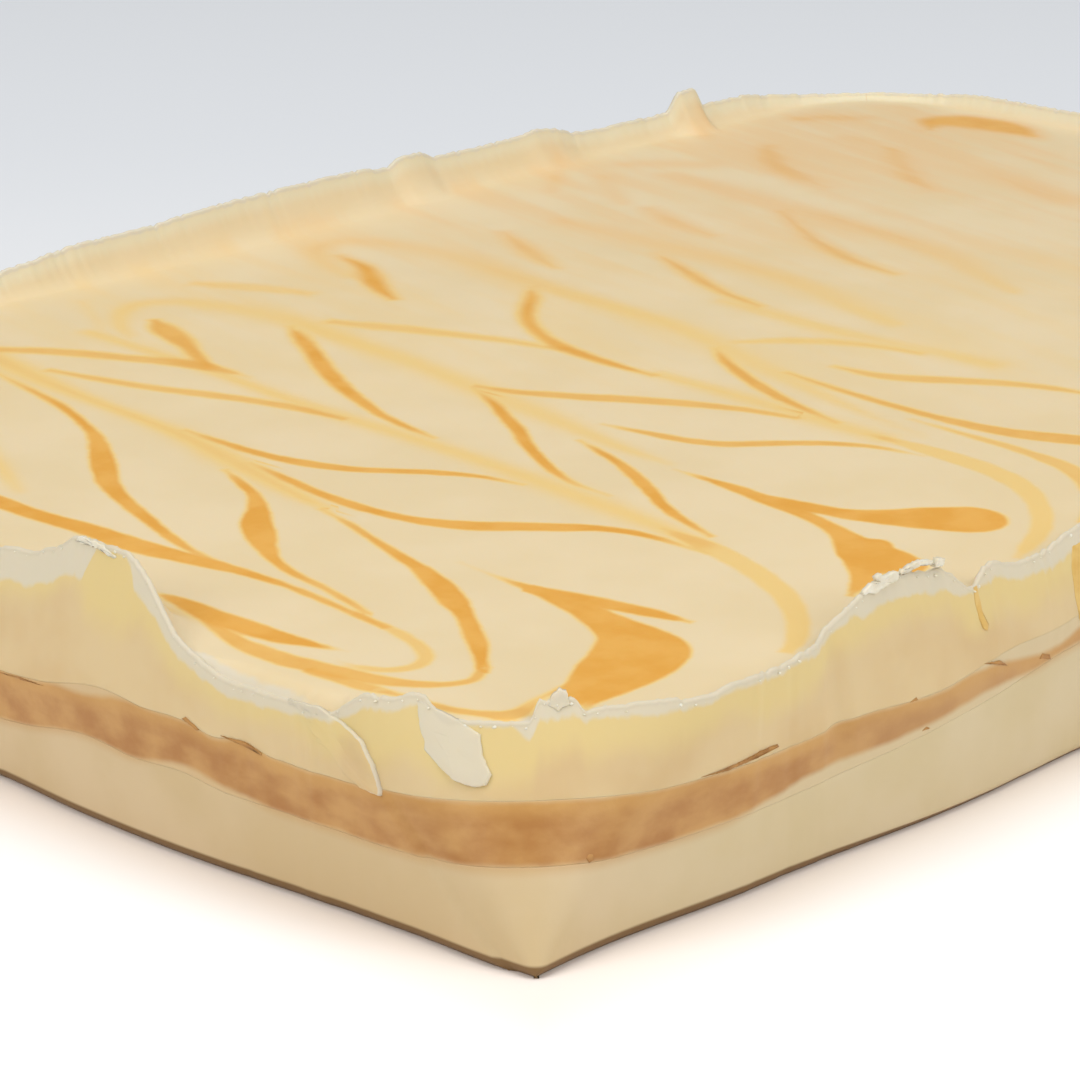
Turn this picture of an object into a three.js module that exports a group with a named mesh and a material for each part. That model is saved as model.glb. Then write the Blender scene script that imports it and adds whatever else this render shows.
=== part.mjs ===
// A slab of fudge, as it comes out of a paper-lined baking tin.
// Three layers were poured one after another: a pale base, a caramel and a cream top. Each
// is one closed solid, and they meet in shared wavy faces that show all round the sides.
// The paper left its marks: soft corners that open upwards like a cone, walls that swell
// and draw in, and thin raised lips, crags and a crease along the upper edge.
//
// Millimetres, +Z up, with the long side along X. The origin is in the middle of the flat
// underside. A place on the side wall is given as a walk: the distance along the tin's
// edge, from 0 at the corner (-X, -Y) and on along +X, so that it grows counterclockwise
// and a negative walk lies on the short wall beside that corner.

import * as THREE from 'three';
import { mergeVertices } from 'three/addons/utils/BufferGeometryUtils.js';

// ---- Driving dimensions ----------------------------------------------------------------

const TIN_LENGTH = 300;
const TIN_WIDTH = 200;
const FACE_HEIGHT = 26; // the marbled face, above the underside
const EDGE_HEIGHT = 25.4; // the upper edge where no lip stands on it
const BASE_TOP = 10.2; // where base and caramel meet on the wall
const CARAMEL_TOP = 16.6; // where caramel and cream meet on the wall
const BASE_TOP_INSIDE = 10.6;
const CARAMEL_TOP_INSIDE = 16.9;

const FOOT_UNDERCUT = 0.4; // how far the bottom edge draws in
const FOOT_HEIGHT = 0.8;
const CORNER_REACH = 45; // walk on each side of a corner that its round can use
const LIP_EDGE = 1.2; // thickness of a lip at its crest
const LIP_FOOT = 2.2; // thickness of the plain rim, where it meets the face
const LIP_SPREAD = 0.8; // how much wider a lip's foot is for each millimetre it rises

const NEAR_REACH = 105; // the walls beside the corner (-X, -Y) have finer relief
const NEAR_STEP = 2.5;
const FAR_STEP = 5;

const SPINE_HALF = 60; // the face and the hidden joints between layers close on a short spine
const SPINE_STEP = 20;

// A corner's radius is foot + grow * height, because the folded paper opens upwards.
const CORNERS = [
  { foot: 1.0, grow: 1.3 },
  { foot: 3.5, grow: 0.95 },
  { foot: 2.0, grow: 1.15 },
  { foot: 3.0, grow: 1.05 },
];

// A swell is a smooth bump on the wall: where it is, how far it reaches and its size.
const SWELL_OUT = 1.25; // each wall's strongest outward swell
const WALL_SWELLS = [
  { at: 75, reach: 32, size: SWELL_OUT },
  { at: 12, reach: 26, size: -1.35 },
  { at: 146, reach: 40, size: -1.0 },
  { at: 214, reach: 44, size: 0.9 },
  { at: 282, reach: 30, size: -0.8 },
  { at: 340, reach: 38, size: 1.0 },
  { at: 392, reach: 30, size: -1.1 },
  { at: 450, reach: 36, size: SWELL_OUT },
  { at: 530, reach: 34, size: -1.2 },
  { at: 605, reach: 44, size: SWELL_OUT },
  { at: 672, reach: 36, size: -0.9 },
  { at: 744, reach: 40, size: 1.1 },
  { at: 836, reach: 34, size: 0.8 },
  { at: -98, reach: 22, size: -1.0 },
  { at: -60, reach: 36, size: SWELL_OUT },
  { at: -16, reach: 18, size: -0.5 },
];

const BASE_TOP_SWELLS = [
  { at: 0, reach: 24, size: 1.1 },
  { at: 66, reach: 26, size: 1.1 },
  { at: 104, reach: 46, size: 5.0 },
  { at: 178, reach: 44, size: 1.6 },
  { at: 262, reach: 36, size: -1.2 },
  { at: 352, reach: 40, size: 1.5 },
  { at: 436, reach: 38, size: -1.0 },
  { at: 522, reach: 34, size: 1.8 },
  { at: 618, reach: 48, size: -1.3 },
  { at: 706, reach: 38, size: 1.4 },
  { at: 792, reach: 40, size: 1.0 },
  { at: 866, reach: 32, size: -1.1 },
  { at: -98, reach: 24, size: -2.2 },
  { at: -74, reach: 14, size: 0.9 },
  { at: -58, reach: 10, size: 0.9 },
];

const CARAMEL_TOP_SWELLS = [
  { at: 0, reach: 34, size: 1.4 },
  { at: 56, reach: 12, size: 0.6 },
  { at: 84, reach: 14, size: 1.4 },
  { at: 112, reach: 34, size: 3.2 },
  { at: 168, reach: 36, size: 1.2 },
  { at: 246, reach: 42, size: -0.9 },
  { at: 330, reach: 38, size: 1.3 },
  { at: 410, reach: 34, size: -0.8 },
  { at: 496, reach: 40, size: 1.5 },
  { at: 590, reach: 44, size: -1.0 },
  { at: 684, reach: 40, size: 1.2 },
  { at: 770, reach: 36, size: -0.7 },
  { at: 842, reach: 30, size: 1.0 },
  { at: -97, reach: 26, size: -2.0 },
  { at: -71, reach: 14, size: 1.3 },
  { at: -58, reach: 8, size: 1.0 },
  { at: -47, reach: 6, size: 0.9 },
];

// A lip stands up from the upper edge, where the paper drew the cream up with it. It starts,
// is full, starts to fall and ends at these walks, and it leans in by as much as given. Where
// its rise is below zero, the edge sinks instead.
const LIPS = [
  { start: -170, full: -130, fall: -72, end: -50, rise: 4.2, lean: 2.6 },
  { start: -98, full: -79, fall: -72.5, end: -57.5, rise: 4.9, lean: 1.5 },
  { start: -94, full: -88, fall: -84.5, end: -80, rise: -1.4, lean: 0.0 },
  { start: -57, full: -48, fall: -31, end: -28, rise: -1.0, lean: 0.0 },
  { start: -29.5, full: -24, fall: -16, end: -11.5, rise: 2.2, lean: 0.3 },
  { start: -20, full: -17.5, fall: -16, end: -14, rise: 0.7, lean: 0.0 },
  { start: -17, full: -11, fall: 46, end: 52, rise: 0.7, lean: 0.0 },
  { start: -0.5, full: 1, fall: 5.5, end: 8, rise: 2.2, lean: 0.2 },
  { start: 5, full: 10, fall: 44, end: 52, rise: 1.1, lean: 0.0 },
  { start: 20, full: 24, fall: 27, end: 31, rise: -0.6, lean: 0.0 },
  { start: 42, full: 61, fall: 74, end: 81, rise: 5.5, lean: 3.0 },
  { start: 58, full: 64, fall: 66, end: 74, rise: 1.1, lean: 0.0 },
  { start: 77, full: 81.5, fall: 122, end: 150, rise: 2.8, lean: 2.0 },
  { start: 80, full: 83.5, fall: 84, end: 89, rise: 1.2, lean: 0.5 },
  { start: 92, full: 106, fall: 122, end: 150, rise: 1.6, lean: 0.8 },
  { start: 166, full: 178, fall: 205, end: 219, rise: 3.2, lean: 1.6 },
  { start: 230, full: 240, fall: 262, end: 272, rise: 4.2, lean: 2.0 },
  { start: 322, full: 332, fall: 350, end: 364, rise: 2.6, lean: 1.4 },
  { start: 404, full: 424, fall: 470, end: 488, rise: 3.0, lean: 1.0 },
  { start: 470, full: 486, fall: 510, end: 530, rise: 2.0, lean: 0.4 },
  { start: 508, full: 534, fall: 716, end: 752, rise: 4.2, lean: 0.8 },
  { start: 545, full: 548.5, fall: 551.5, end: 555, rise: 3.4, lean: 0.4 },
  { start: 572, full: 592, fall: 690, end: 712, rise: 1.9, lean: 0.4 },
  { start: 579, full: 584, fall: 588, end: 594, rise: 0.8, lean: 0.2 },
  { start: 613, full: 617, fall: 621, end: 625, rise: 1.6, lean: 0.3 },
  { start: 622, full: 634, fall: 658, end: 686, rise: 1.1, lean: 0.2 },
  { start: 786, full: 794, fall: 806, end: 816, rise: 2.2, lean: 1.2 },
];

// The paper's crease beside the corner (-X, -Y) climbs away from it. The wall beyond the
// crease stands a little proud, and the step fades out along the wall.
const CREASE = { foot: 4, climb: 1.04, edge: 2.5, fade: 32, proud: 0.5 };

// A flake of cream hangs over the wall beside the corner (-X, -Y).
const FLAKE = { at: -9.5, reach: 6, top: 26, bottom: 20.5, proud: 0.7 };

// A ruck of the paper left an upright groove in the long wall.
const GROOVE = { at: 52.5, reach: 4, depth: 0.6 };

// Rows up the wall, as shares of each layer's height there.
const BASE_ROWS = [0.5];
const CARAMEL_ROWS = [0.5];
const CREAM_ROWS = [0.35, 0.65, 0.86];
const FACE_ROWS = [0.07, 0.22, 0.55]; // rings on the face, as shares of the way to the spine
const JOINT_ROW = 0.12; // ring on a hidden joint between two layers

// ---- The walk round the tin --------------------------------------------------------------

const SIDES = [
  { along: [1, 0], inward: [0, 1], length: TIN_LENGTH },
  { along: [0, 1], inward: [-1, 0], length: TIN_WIDTH },
  { along: [-1, 0], inward: [0, -1], length: TIN_LENGTH },
  { along: [0, -1], inward: [1, 0], length: TIN_WIDTH },
];

let walked = 0;
let corner = [-TIN_LENGTH / 2, -TIN_WIDTH / 2];
for (const side of SIDES) {
  side.start = walked;
  side.corner = corner;
  walked += side.length;
  corner = [corner[0] + side.along[0] * side.length, corner[1] + side.along[1] * side.length];
}
const PERIMETER = walked;

const clamp = THREE.MathUtils.clamp;
const lerp = THREE.MathUtils.lerp;
const ramp = THREE.MathUtils.smoothstep;

function walkFrom(walk, origin) {
  return THREE.MathUtils.euclideanModulo(walk - origin + PERIMETER / 2, PERIMETER) - PERIMETER / 2;
}

function swell(walk, { at, reach, size }) {
  const away = Math.min(Math.abs(walkFrom(walk, at)) / reach, 1);
  return size * 0.5 * (1 + Math.cos(Math.PI * away));
}

function swells(walk, list) {
  return list.reduce((sum, one) => sum + swell(walk, one), 0);
}

// Point on the tin's edge at this height, with the direction that points into the slab.
// Round a corner, the straight-arc-straight path is walked evenly from end to end.
function edgePoint(walk, height) {
  for (let k = 0; k < SIDES.length; k += 1) {
    const away = walkFrom(walk, SIDES[k].start);
    if (Math.abs(away) < CORNER_REACH) {
      const radius = CORNERS[k].foot + CORNERS[k].grow * height;
      return cornerPoint(SIDES[(k + 3) % 4], SIDES[k], radius, away / CORNER_REACH);
    }
  }
  const wrapped = THREE.MathUtils.euclideanModulo(walk, PERIMETER);
  const side = SIDES.findLast((one) => one.start <= wrapped);
  const run = wrapped - side.start;
  const x = side.corner[0] + side.along[0] * run;
  const y = side.corner[1] + side.along[1] * run;
  return { x, y, inX: side.inward[0], inY: side.inward[1] };
}

function cornerPoint(before, after, radius, share) {
  const halfArc = (Math.PI * radius) / 4;
  const run = share * (CORNER_REACH - radius + halfArc);
  const [cx, cy] = after.corner;
  if (Math.abs(run) > halfArc) {
    const side = run > 0 ? after : before;
    const reach = Math.sign(run) * (radius + Math.abs(run) - halfArc);
    const x = cx + side.along[0] * reach;
    const y = cy + side.along[1] * reach;
    return { x, y, inX: side.inward[0], inY: side.inward[1] };
  }
  const angle = run / radius + Math.PI / 4;
  const inX = Math.cos(angle) * before.inward[0] + Math.sin(angle) * after.inward[0];
  const inY = Math.cos(angle) * before.inward[1] + Math.sin(angle) * after.inward[1];
  const middleX = cx + radius * (before.inward[0] + after.inward[0]);
  const middleY = cy + radius * (before.inward[1] + after.inward[1]);
  return { x: middleX - radius * inX, y: middleY - radius * inY, inX, inY };
}

// ---- Heights and relief on the wall ------------------------------------------------------

function lipShare(walk, lip) {
  const middle = (lip.start + lip.end) / 2;
  const at = middle + walkFrom(walk, middle);
  return ramp(at, lip.start, lip.full) * (1 - ramp(at, lip.fall, lip.end));
}

function crestHeight(walk) {
  return LIPS.reduce((sum, lip) => sum + lip.rise * lipShare(walk, lip), EDGE_HEIGHT);
}

function crestLean(walk) {
  return LIPS.reduce((sum, lip) => sum + lip.lean * lipShare(walk, lip), 0);
}

function baseTop(walk) {
  return BASE_TOP + swells(walk, BASE_TOP_SWELLS);
}

function caramelTop(walk) {
  return CARAMEL_TOP + swells(walk, CARAMEL_TOP_SWELLS);
}

function creaseProud(walk, height) {
  const beyond = -walkFrom(walk, 0) - (CREASE.foot + CREASE.climb * height);
  return CREASE.proud * ramp(beyond, 0, CREASE.edge) * (1 - ramp(beyond, CREASE.edge, CREASE.fade));
}

function flakeProud(walk, height) {
  const across = swell(walk, { at: FLAKE.at, reach: FLAKE.reach, size: FLAKE.proud });
  const hang = ramp(height, FLAKE.bottom, FLAKE.bottom + 1) * (1 - ramp(height, FLAKE.top - 1, FLAKE.top));
  return across * hang;
}

function grooveDepth(walk, height) {
  const across = swell(walk, { at: GROOVE.at, reach: GROOVE.reach, size: GROOVE.depth });
  return across * ramp(height, BASE_TOP, CARAMEL_TOP);
}

// How far the wall lies inside the tin's edge, at a height on it.
function wallInset(walk, height) {
  const low = caramelTop(walk);
  const share = clamp((height - low) / (crestHeight(walk) - low), 0, 1);
  const foot = FOOT_UNDERCUT * (1 - clamp(height / FOOT_HEIGHT, 0, 1)) ** 2;
  const swelling = swells(walk, WALL_SWELLS) * (1 - 0.5 * ramp(height, BASE_TOP, FACE_HEIGHT));
  const marks = grooveDepth(walk, height) - creaseProud(walk, height) - flakeProud(walk, height);
  return Math.max(foot + crestLean(walk) * share ** 1.6 - swelling + marks, -SWELL_OUT);
}

function wallPoint(walk, height, deeper = 0) {
  const edge = edgePoint(walk, height);
  const inset = wallInset(walk, height) + deeper;
  return [edge.x + edge.inX * inset, edge.y + edge.inY * inset, height];
}

// The face is level, with the faint waves of a poured surface, and dips by the wall.
function faceHeight(x, y) {
  const waves = 0.14 * Math.sin(x / 21 + 0.6) * Math.cos(y / 17) + 0.1 * Math.sin((x + 1.7 * y) / 33);
  const nearWall = Math.min(TIN_LENGTH / 2 - Math.abs(x), TIN_WIDTH / 2 - Math.abs(y));
  return FACE_HEIGHT + waves - 0.3 * (1 - ramp(nearWall, 0, 12));
}

// ---- Rings, skins and solids -------------------------------------------------------------

function walkStations() {
  const stations = [];
  for (let walk = -NEAR_REACH; walk < NEAR_REACH; walk += NEAR_STEP) {
    stations.push(walk);
  }
  const rest = PERIMETER - 2 * NEAR_REACH;
  const count = Math.round(rest / FAR_STEP);
  for (let k = 0; k < count; k += 1) {
    stations.push(NEAR_REACH + (rest * k) / count);
  }
  return stations;
}

const STATIONS = walkStations();

const wallRing = (heightAt) => STATIONS.map((walk) => wallPoint(walk, heightAt(walk)));

// A ring partway from another ring to the spine, at the height that the rule gives.
function innerRing(ring, share, heightAt) {
  return ring.map(([x, y]) => {
    const toX = clamp(x, -SPINE_HALF, SPINE_HALF);
    const at = [lerp(x, toX, share), lerp(y, 0, share)];
    return [...at, heightAt(...at)];
  });
}

// The spine's few points, one for each point of a ring, so that the ring closes on them.
function spineRing(ring, heightAt) {
  return ring.map(([x]) => {
    const at = clamp(Math.round(x / SPINE_STEP) * SPINE_STEP, -SPINE_HALF, SPINE_HALF);
    return [at, 0, heightAt(at, 0)];
  });
}

// Triangles between each ring and the next. They face outwards where the rings climb a wall,
// and upwards where they close in.
function skin(rings) {
  const same = (p, q) => p.every((value, axis) => value === q[axis]);
  const triangles = [];
  const add = (...triangle) => {
    const [a, b, c] = triangle;
    if (!same(a, b) && !same(b, c) && !same(c, a)) {
      triangles.push(triangle);
    }
  };
  for (let row = 1; row < rings.length; row += 1) {
    const [from, to] = [rings[row - 1], rings[row]];
    from.forEach((point, k) => {
      const next = (k + 1) % from.length;
      add(point, from[next], to[next]);
      add(point, to[next], to[k]);
    });
  }
  return triangles;
}

const facingDown = (triangles) => triangles.map(([a, b, c]) => [a, c, b]);

function solid(name, color, roughness, skins) {
  const geometry = new THREE.BufferGeometry();
  const positions = new THREE.Float32BufferAttribute(skins.flat(3), 3);
  geometry.setAttribute('position', positions);
  const closed = mergeVertices(geometry, 1e-4);
  closed.computeVertexNormals();
  const mesh = new THREE.Mesh(closed, new THREE.MeshStandardMaterial({ color, roughness }));
  mesh.name = name;
  return mesh;
}

// ---- The layers ----------------------------------------------------------------------------

const footRing = wallRing(() => 0);
const baseTopRing = wallRing(baseTop);
const caramelTopRing = wallRing(caramelTop);
const crestRing = wallRing(crestHeight);

function rowsBetween(lowAt, highAt, shares) {
  return shares.map((share) => wallRing((walk) => lerp(lowAt(walk), highAt(walk), share)));
}

function underside() {
  return facingDown(skin([footRing, spineRing(footRing, () => 0)]));
}

// The hidden joint between two layers: the lower one ends on it and the upper one lies on it.
function joint(ring, height) {
  const level = () => height;
  return skin([ring, innerRing(ring, JOINT_ROW, level), spineRing(ring, level)]);
}

function lipRings() {
  const crestInside = [];
  const shoulder = [];
  const foot = [];
  STATIONS.forEach((walk) => {
    const crest = crestHeight(walk);
    const rise = Math.max(crest - FACE_HEIGHT, 0);
    const spread = LIP_FOOT - LIP_EDGE + LIP_SPREAD * rise;
    crestInside.push(lipPoint(walk, crest, LIP_EDGE, lerp(FACE_HEIGHT, crest, 0.95)));
    shoulder.push(lipPoint(walk, crest, LIP_EDGE + 0.35 * spread, lerp(FACE_HEIGHT, crest, 0.4)));
    const [x, y] = lipPoint(walk, crest, LIP_EDGE + spread, 0);
    foot.push([x, y, faceHeight(x, y)]);
  });
  return [crestInside, shoulder, foot];
}

function lipPoint(walk, crest, deeper, height) {
  const [x, y] = wallPoint(walk, crest, deeper);
  return [x, y, height];
}

function marbledFace(footOfLip) {
  const rings = FACE_ROWS.map((share) => innerRing(footOfLip, share, faceHeight));
  return [...rings, spineRing(footOfLip, faceHeight)];
}

function baseLayer() {
  const bend = wallRing(() => FOOT_HEIGHT);
  const rows = rowsBetween(() => FOOT_HEIGHT, baseTop, BASE_ROWS);
  const wall = skin([footRing, bend, ...rows, baseTopRing]);
  const skins = [underside(), wall, joint(baseTopRing, BASE_TOP_INSIDE)];
  return solid('base_layer', 0xd8c49a, 0.55, skins);
}

function caramelLayer() {
  const rows = rowsBetween(baseTop, caramelTop, CARAMEL_ROWS);
  const wall = skin([baseTopRing, ...rows, caramelTopRing]);
  const under = facingDown(joint(baseTopRing, BASE_TOP_INSIDE));
  const skins = [under, wall, joint(caramelTopRing, CARAMEL_TOP_INSIDE)];
  return solid('caramel_layer', 0xbf8f52, 0.4, skins);
}

function topLayer() {
  const rows = rowsBetween(caramelTop, crestHeight, CREAM_ROWS);
  const wall = skin([caramelTopRing, ...rows, crestRing]);
  const lip = lipRings();
  const face = marbledFace(lip.at(-1));
  const under = facingDown(joint(caramelTopRing, CARAMEL_TOP_INSIDE));
  const skins = [under, wall, skin([crestRing, ...lip, ...face])];
  return solid('top_layer', 0xe8d3a4, 0.35, skins);
}

const slab = new THREE.Group();
slab.add(baseLayer(), caramelLayer(), topLayer());

export default slab;
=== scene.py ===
# %% [markdown]
# # A slab of marbled fudge
#
# This slab was poured into a paper-lined baking tin in three layers and then turned out: a
# pale base, a band of caramel and a cream top. Caramel was piped over the soft cream in
# lines, and a skewer drawn to and fro through it left the feathered face.
#
# The solid model is loaded first and never moved. Each of its three layers is then made
# again as a finer mesh in the same place, and given its finish.

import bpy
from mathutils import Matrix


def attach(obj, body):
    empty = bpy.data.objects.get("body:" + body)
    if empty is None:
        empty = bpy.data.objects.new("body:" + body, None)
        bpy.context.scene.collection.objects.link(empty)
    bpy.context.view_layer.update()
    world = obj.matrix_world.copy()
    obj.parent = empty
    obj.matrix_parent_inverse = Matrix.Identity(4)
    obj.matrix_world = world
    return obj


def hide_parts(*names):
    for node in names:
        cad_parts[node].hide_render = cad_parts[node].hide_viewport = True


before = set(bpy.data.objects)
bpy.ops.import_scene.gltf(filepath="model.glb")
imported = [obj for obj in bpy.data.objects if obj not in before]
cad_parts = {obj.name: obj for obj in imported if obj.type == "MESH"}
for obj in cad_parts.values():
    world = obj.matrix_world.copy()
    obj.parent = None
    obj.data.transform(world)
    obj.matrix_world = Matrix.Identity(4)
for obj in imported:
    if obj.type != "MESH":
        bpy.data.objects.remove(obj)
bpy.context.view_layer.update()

# %% [markdown]
# ## Measuring along the tin
#
# All the marks on the sides came from the paper that lined the tin, so they are easiest to
# place by walking along its edge. A **walk** is that distance in millimetres: 0 at the
# corner (-X, -Y), growing along the long side and on round the slab. A negative walk lies on
# the short side beside that corner. Each function works on a whole array of walks at once.

# %% The walk round the tin
import math

import bpy
import numpy as np
from mathutils import Vector

MM = 0.001
LENGTH, WIDTH = 300.0, 200.0
PERIMETER = 2 * (LENGTH + WIDTH)
CORNER_REACH = 45.0  # walk on each side of a corner that its round can use

ALONG = np.array([(1, 0), (0, 1), (-1, 0), (0, -1)], float)
INWARD = np.array([(0, 1), (-1, 0), (0, -1), (1, 0)], float)
CORNER_AT = np.array([(-1, -1), (1, -1), (1, 1), (-1, 1)]) * (LENGTH / 2, WIDTH / 2)
CORNER_WALK = np.array([0, LENGTH, LENGTH + WIDTH, 2 * LENGTH + WIDTH])
# each corner's radius at the foot, and how much it grows with each millimetre of height
CORNER_ROUND = [(1.0, 1.3), (3.5, 0.95), (2.0, 1.15), (3.0, 1.05)]


def ramp(value, low, high):
    """0 below low, 1 above high, and a smooth rise between them."""
    share = np.clip((value - low) / (high - low), 0, 1)
    return share * share * (3 - 2 * share)


def walk_from(walk, origin):
    """The signed walk from an origin, by the shorter way round."""
    return (walk - origin + PERIMETER / 2) % PERIMETER - PERIMETER / 2


def edge_point(walk, height):
    """Points on the tin's edge at a height, and the directions that lead into the slab."""
    wrapped = walk % PERIMETER
    side = np.searchsorted(CORNER_WALK, wrapped, side="right") - 1
    point = CORNER_AT[side] + ALONG[side] * (wrapped - CORNER_WALK[side])[:, None]
    inward = INWARD[side]
    for after, (foot, grow) in enumerate(CORNER_ROUND):
        before = (after + 3) % 4
        away = walk_from(walk, CORNER_WALK[after])
        radius = foot + grow * height
        half_arc = math.pi * radius / 4
        run = away / CORNER_REACH * (CORNER_REACH - radius + half_arc)
        past = (run > 0)[:, None]
        reach = np.sign(run) * (radius + np.abs(run) - half_arc)
        straight = CORNER_AT[after] + np.where(past, ALONG[after], ALONG[before]) * reach[:, None]
        angle = np.clip(run / radius, -math.pi / 4, math.pi / 4) + math.pi / 4
        turned = np.cos(angle)[:, None] * INWARD[before] + np.sin(angle)[:, None] * INWARD[after]
        middle = CORNER_AT[after] + radius[:, None] * (INWARD[before] + INWARD[after])
        on_arc = (np.abs(run) < half_arc)[:, None]
        here = (np.abs(away) < CORNER_REACH)[:, None]
        point = np.where(here, np.where(on_arc, middle - radius[:, None] * turned, straight), point)
        flat = np.where(past, INWARD[after], INWARD[before])
        inward = np.where(here, np.where(on_arc, turned, flat), inward)
    return point, inward


print("perimeter of the tin, mm:", PERIMETER)

# %% [markdown]
# ## What the paper did to the sides
#
# The walls swell and draw in, the layers rise and sink, and thin lips of cream stand up
# where the paper drew it up. Such soft shapes could be sculpted by hand. Here each is a
# short list of smooth bumps, `(where, reach, size)`. The solid model was shaped by the same
# lists, so the fine meshes follow it.

# %% Swells of the walls and of the layers
FACE, EDGE = 26.0, 25.4  # height of the marbled face, and of the rim where no lip stands
BASE_TOP, CARAMEL_TOP = 10.2, 16.6
BASE_TOP_INSIDE, CARAMEL_TOP_INSIDE = 10.6, 16.9
SWELL_OUT = 1.25

WALL_SWELLS = [
    (75, 32, SWELL_OUT), (12, 26, -1.35), (146, 40, -1.0), (214, 44, 0.9), (282, 30, -0.8),
    (340, 38, 1.0), (392, 30, -1.1), (450, 36, SWELL_OUT), (530, 34, -1.2), (605, 44, SWELL_OUT),
    (672, 36, -0.9), (744, 40, 1.1), (836, 34, 0.8), (-98, 22, -1.0), (-60, 36, SWELL_OUT),
    (-16, 18, -0.5),
]
BASE_SWELLS = [
    (0, 24, 1.1), (66, 26, 1.1), (104, 46, 5.0), (178, 44, 1.6), (262, 36, -1.2), (352, 40, 1.5),
    (436, 38, -1.0), (522, 34, 1.8), (618, 48, -1.3), (706, 38, 1.4), (792, 40, 1.0),
    (866, 32, -1.1), (-98, 24, -2.2), (-74, 14, 0.9), (-58, 10, 0.9),
]
CARAMEL_SWELLS = [
    (0, 34, 1.4), (56, 12, 0.6), (84, 14, 1.4), (112, 34, 3.2), (168, 36, 1.2), (246, 42, -0.9),
    (330, 38, 1.3), (410, 34, -0.8), (496, 40, 1.5), (590, 44, -1.0), (684, 40, 1.2),
    (770, 36, -0.7), (842, 30, 1.0), (-97, 26, -2.0), (-71, 14, 1.3), (-58, 8, 1.0), (-47, 6, 0.9),
]


def swell(walk, at, reach, size):
    """One smooth bump, highest at its walk and gone at its reach on either side."""
    away = np.minimum(np.abs(walk_from(walk, at)) / reach, 1)
    return size * 0.5 * (1 + np.cos(math.pi * away))


def swells(walk, bumps):
    return sum(swell(walk, *bump) for bump in bumps)


def base_top(walk):
    return BASE_TOP + swells(walk, BASE_SWELLS)


def caramel_top(walk):
    return CARAMEL_TOP + swells(walk, CARAMEL_SWELLS)


# %% Lips along the rim
# start, full, fall and end as walks, then the rise and the lean inwards
LIPS = [
    (-170, -130, -72, -50, 4.2, 2.6), (-98, -79, -72.5, -57.5, 4.9, 1.5), (-94, -88, -84.5, -80, -1.4, 0.0),
    (-57, -48, -31, -28, -1.0, 0.0), (-29.5, -24, -16, -11.5, 2.2, 0.3), (-20, -17.5, -16, -14, 0.7, 0.0),
    (-17, -11, 46, 52, 0.7, 0.0), (-0.5, 1, 5.5, 8, 2.2, 0.2), (5, 10, 44, 52, 1.1, 0.0),
    (20, 24, 27, 31, -0.6, 0.0), (42, 61, 74, 81, 5.5, 3.0), (58, 64, 66, 74, 1.1, 0.0),
    (77, 81.5, 122, 150, 2.8, 2.0), (80, 83.5, 84, 89, 1.2, 0.5), (92, 106, 122, 150, 1.6, 0.8),
    (166, 178, 205, 219, 3.2, 1.6), (230, 240, 262, 272, 4.2, 2.0), (322, 332, 350, 364, 2.6, 1.4),
    (404, 424, 470, 488, 3.0, 1.0), (470, 486, 510, 530, 2.0, 0.4), (508, 534, 716, 752, 4.2, 0.8),
    (545, 548.5, 551.5, 555, 3.4, 0.4), (572, 592, 690, 712, 1.9, 0.4), (579, 584, 588, 594, 0.8, 0.2),
    (613, 617, 621, 625, 1.6, 0.3), (622, 634, 658, 686, 1.1, 0.2), (786, 794, 806, 816, 2.2, 1.2),
]
RISE, LEAN = 4, 5


def over_lips(walk, column):
    total = 0
    for lip in LIPS:
        start, full, fall, end = lip[:4]
        middle = (start + end) / 2
        at = middle + walk_from(walk, middle)
        total = total + lip[column] * ramp(at, start, full) * (1 - ramp(at, fall, end))
    return total


def smooth_crest(walk):
    return EDGE + over_lips(walk, RISE)


highest = smooth_crest(np.arange(0, PERIMETER)).max()
print("highest point of the rim, mm:", round(float(highest), 2))

# %% [markdown]
# ## Fine marks on the wall
#
# Up close the wall carries finer marks than the solid model needs: upright ripples from the
# wrinkled paper, a torn and slightly ragged crest, a thin crease and a groove. Random bumps
# would look like stone, so the ripples are sums of a few sine waves along the walk, with
# seeded phases. They fit the perimeter a whole number of times, so that they close on
# themselves, and they only ever take away from the crest, so that the slab keeps its size.

# %% Ripples, creases and the torn crest
UNDERCUT, FOOT_HEIGHT = 0.9, 1.3  # how far the bottom edge draws in, and up to where
CREASE = dict(foot=4.0, climb=1.04, edge=1.1, fade=32.0, proud=0.5)
GROOVE = dict(at=52.5, reach=3.0, depth=0.6)
FINE_RIPPLE, WIDE_RIPPLE = 0.05, 0.11  # how far the two kinds stand out, in millimetres
ON_THE_BASE = 0.45  # the share of that which they keep down on the base
RAGGED, RAGGED_MORE = 0.10, 0.16  # how deep the crest is torn, and how much deeper on a tall lip


def ripples(walk, shortest, longest, count, seed):
    """Sines along the walk with wavelengths between two lengths, about -1 to 1 in all."""
    draw = np.random.default_rng(seed)
    cycles = np.round(PERIMETER / np.geomspace(shortest, longest, count))
    phases = draw.uniform(0, 2 * math.pi, count)
    waves = [np.sin(2 * math.pi * c * walk / PERIMETER + p) for c, p in zip(cycles, phases)]
    return sum(waves) / math.sqrt(count)


def paper_ripples(walk, height):
    """Upright ripples, in millimetres outwards, stronger in the soft cream than in the base."""
    patches = ramp(ripples(walk, shortest=34, longest=90, count=4, seed=3), -0.6, 1.0)
    fine = FINE_RIPPLE * ripples(walk, shortest=2.2, longest=5, count=5, seed=5)
    wide = WIDE_RIPPLE * ripples(walk, shortest=7, longest=15, count=4, seed=8)
    in_cream = ramp(height, BASE_TOP, CARAMEL_TOP + 4)
    return (fine + wide) * patches * (ON_THE_BASE + (1 - ON_THE_BASE) * in_cream)


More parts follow.
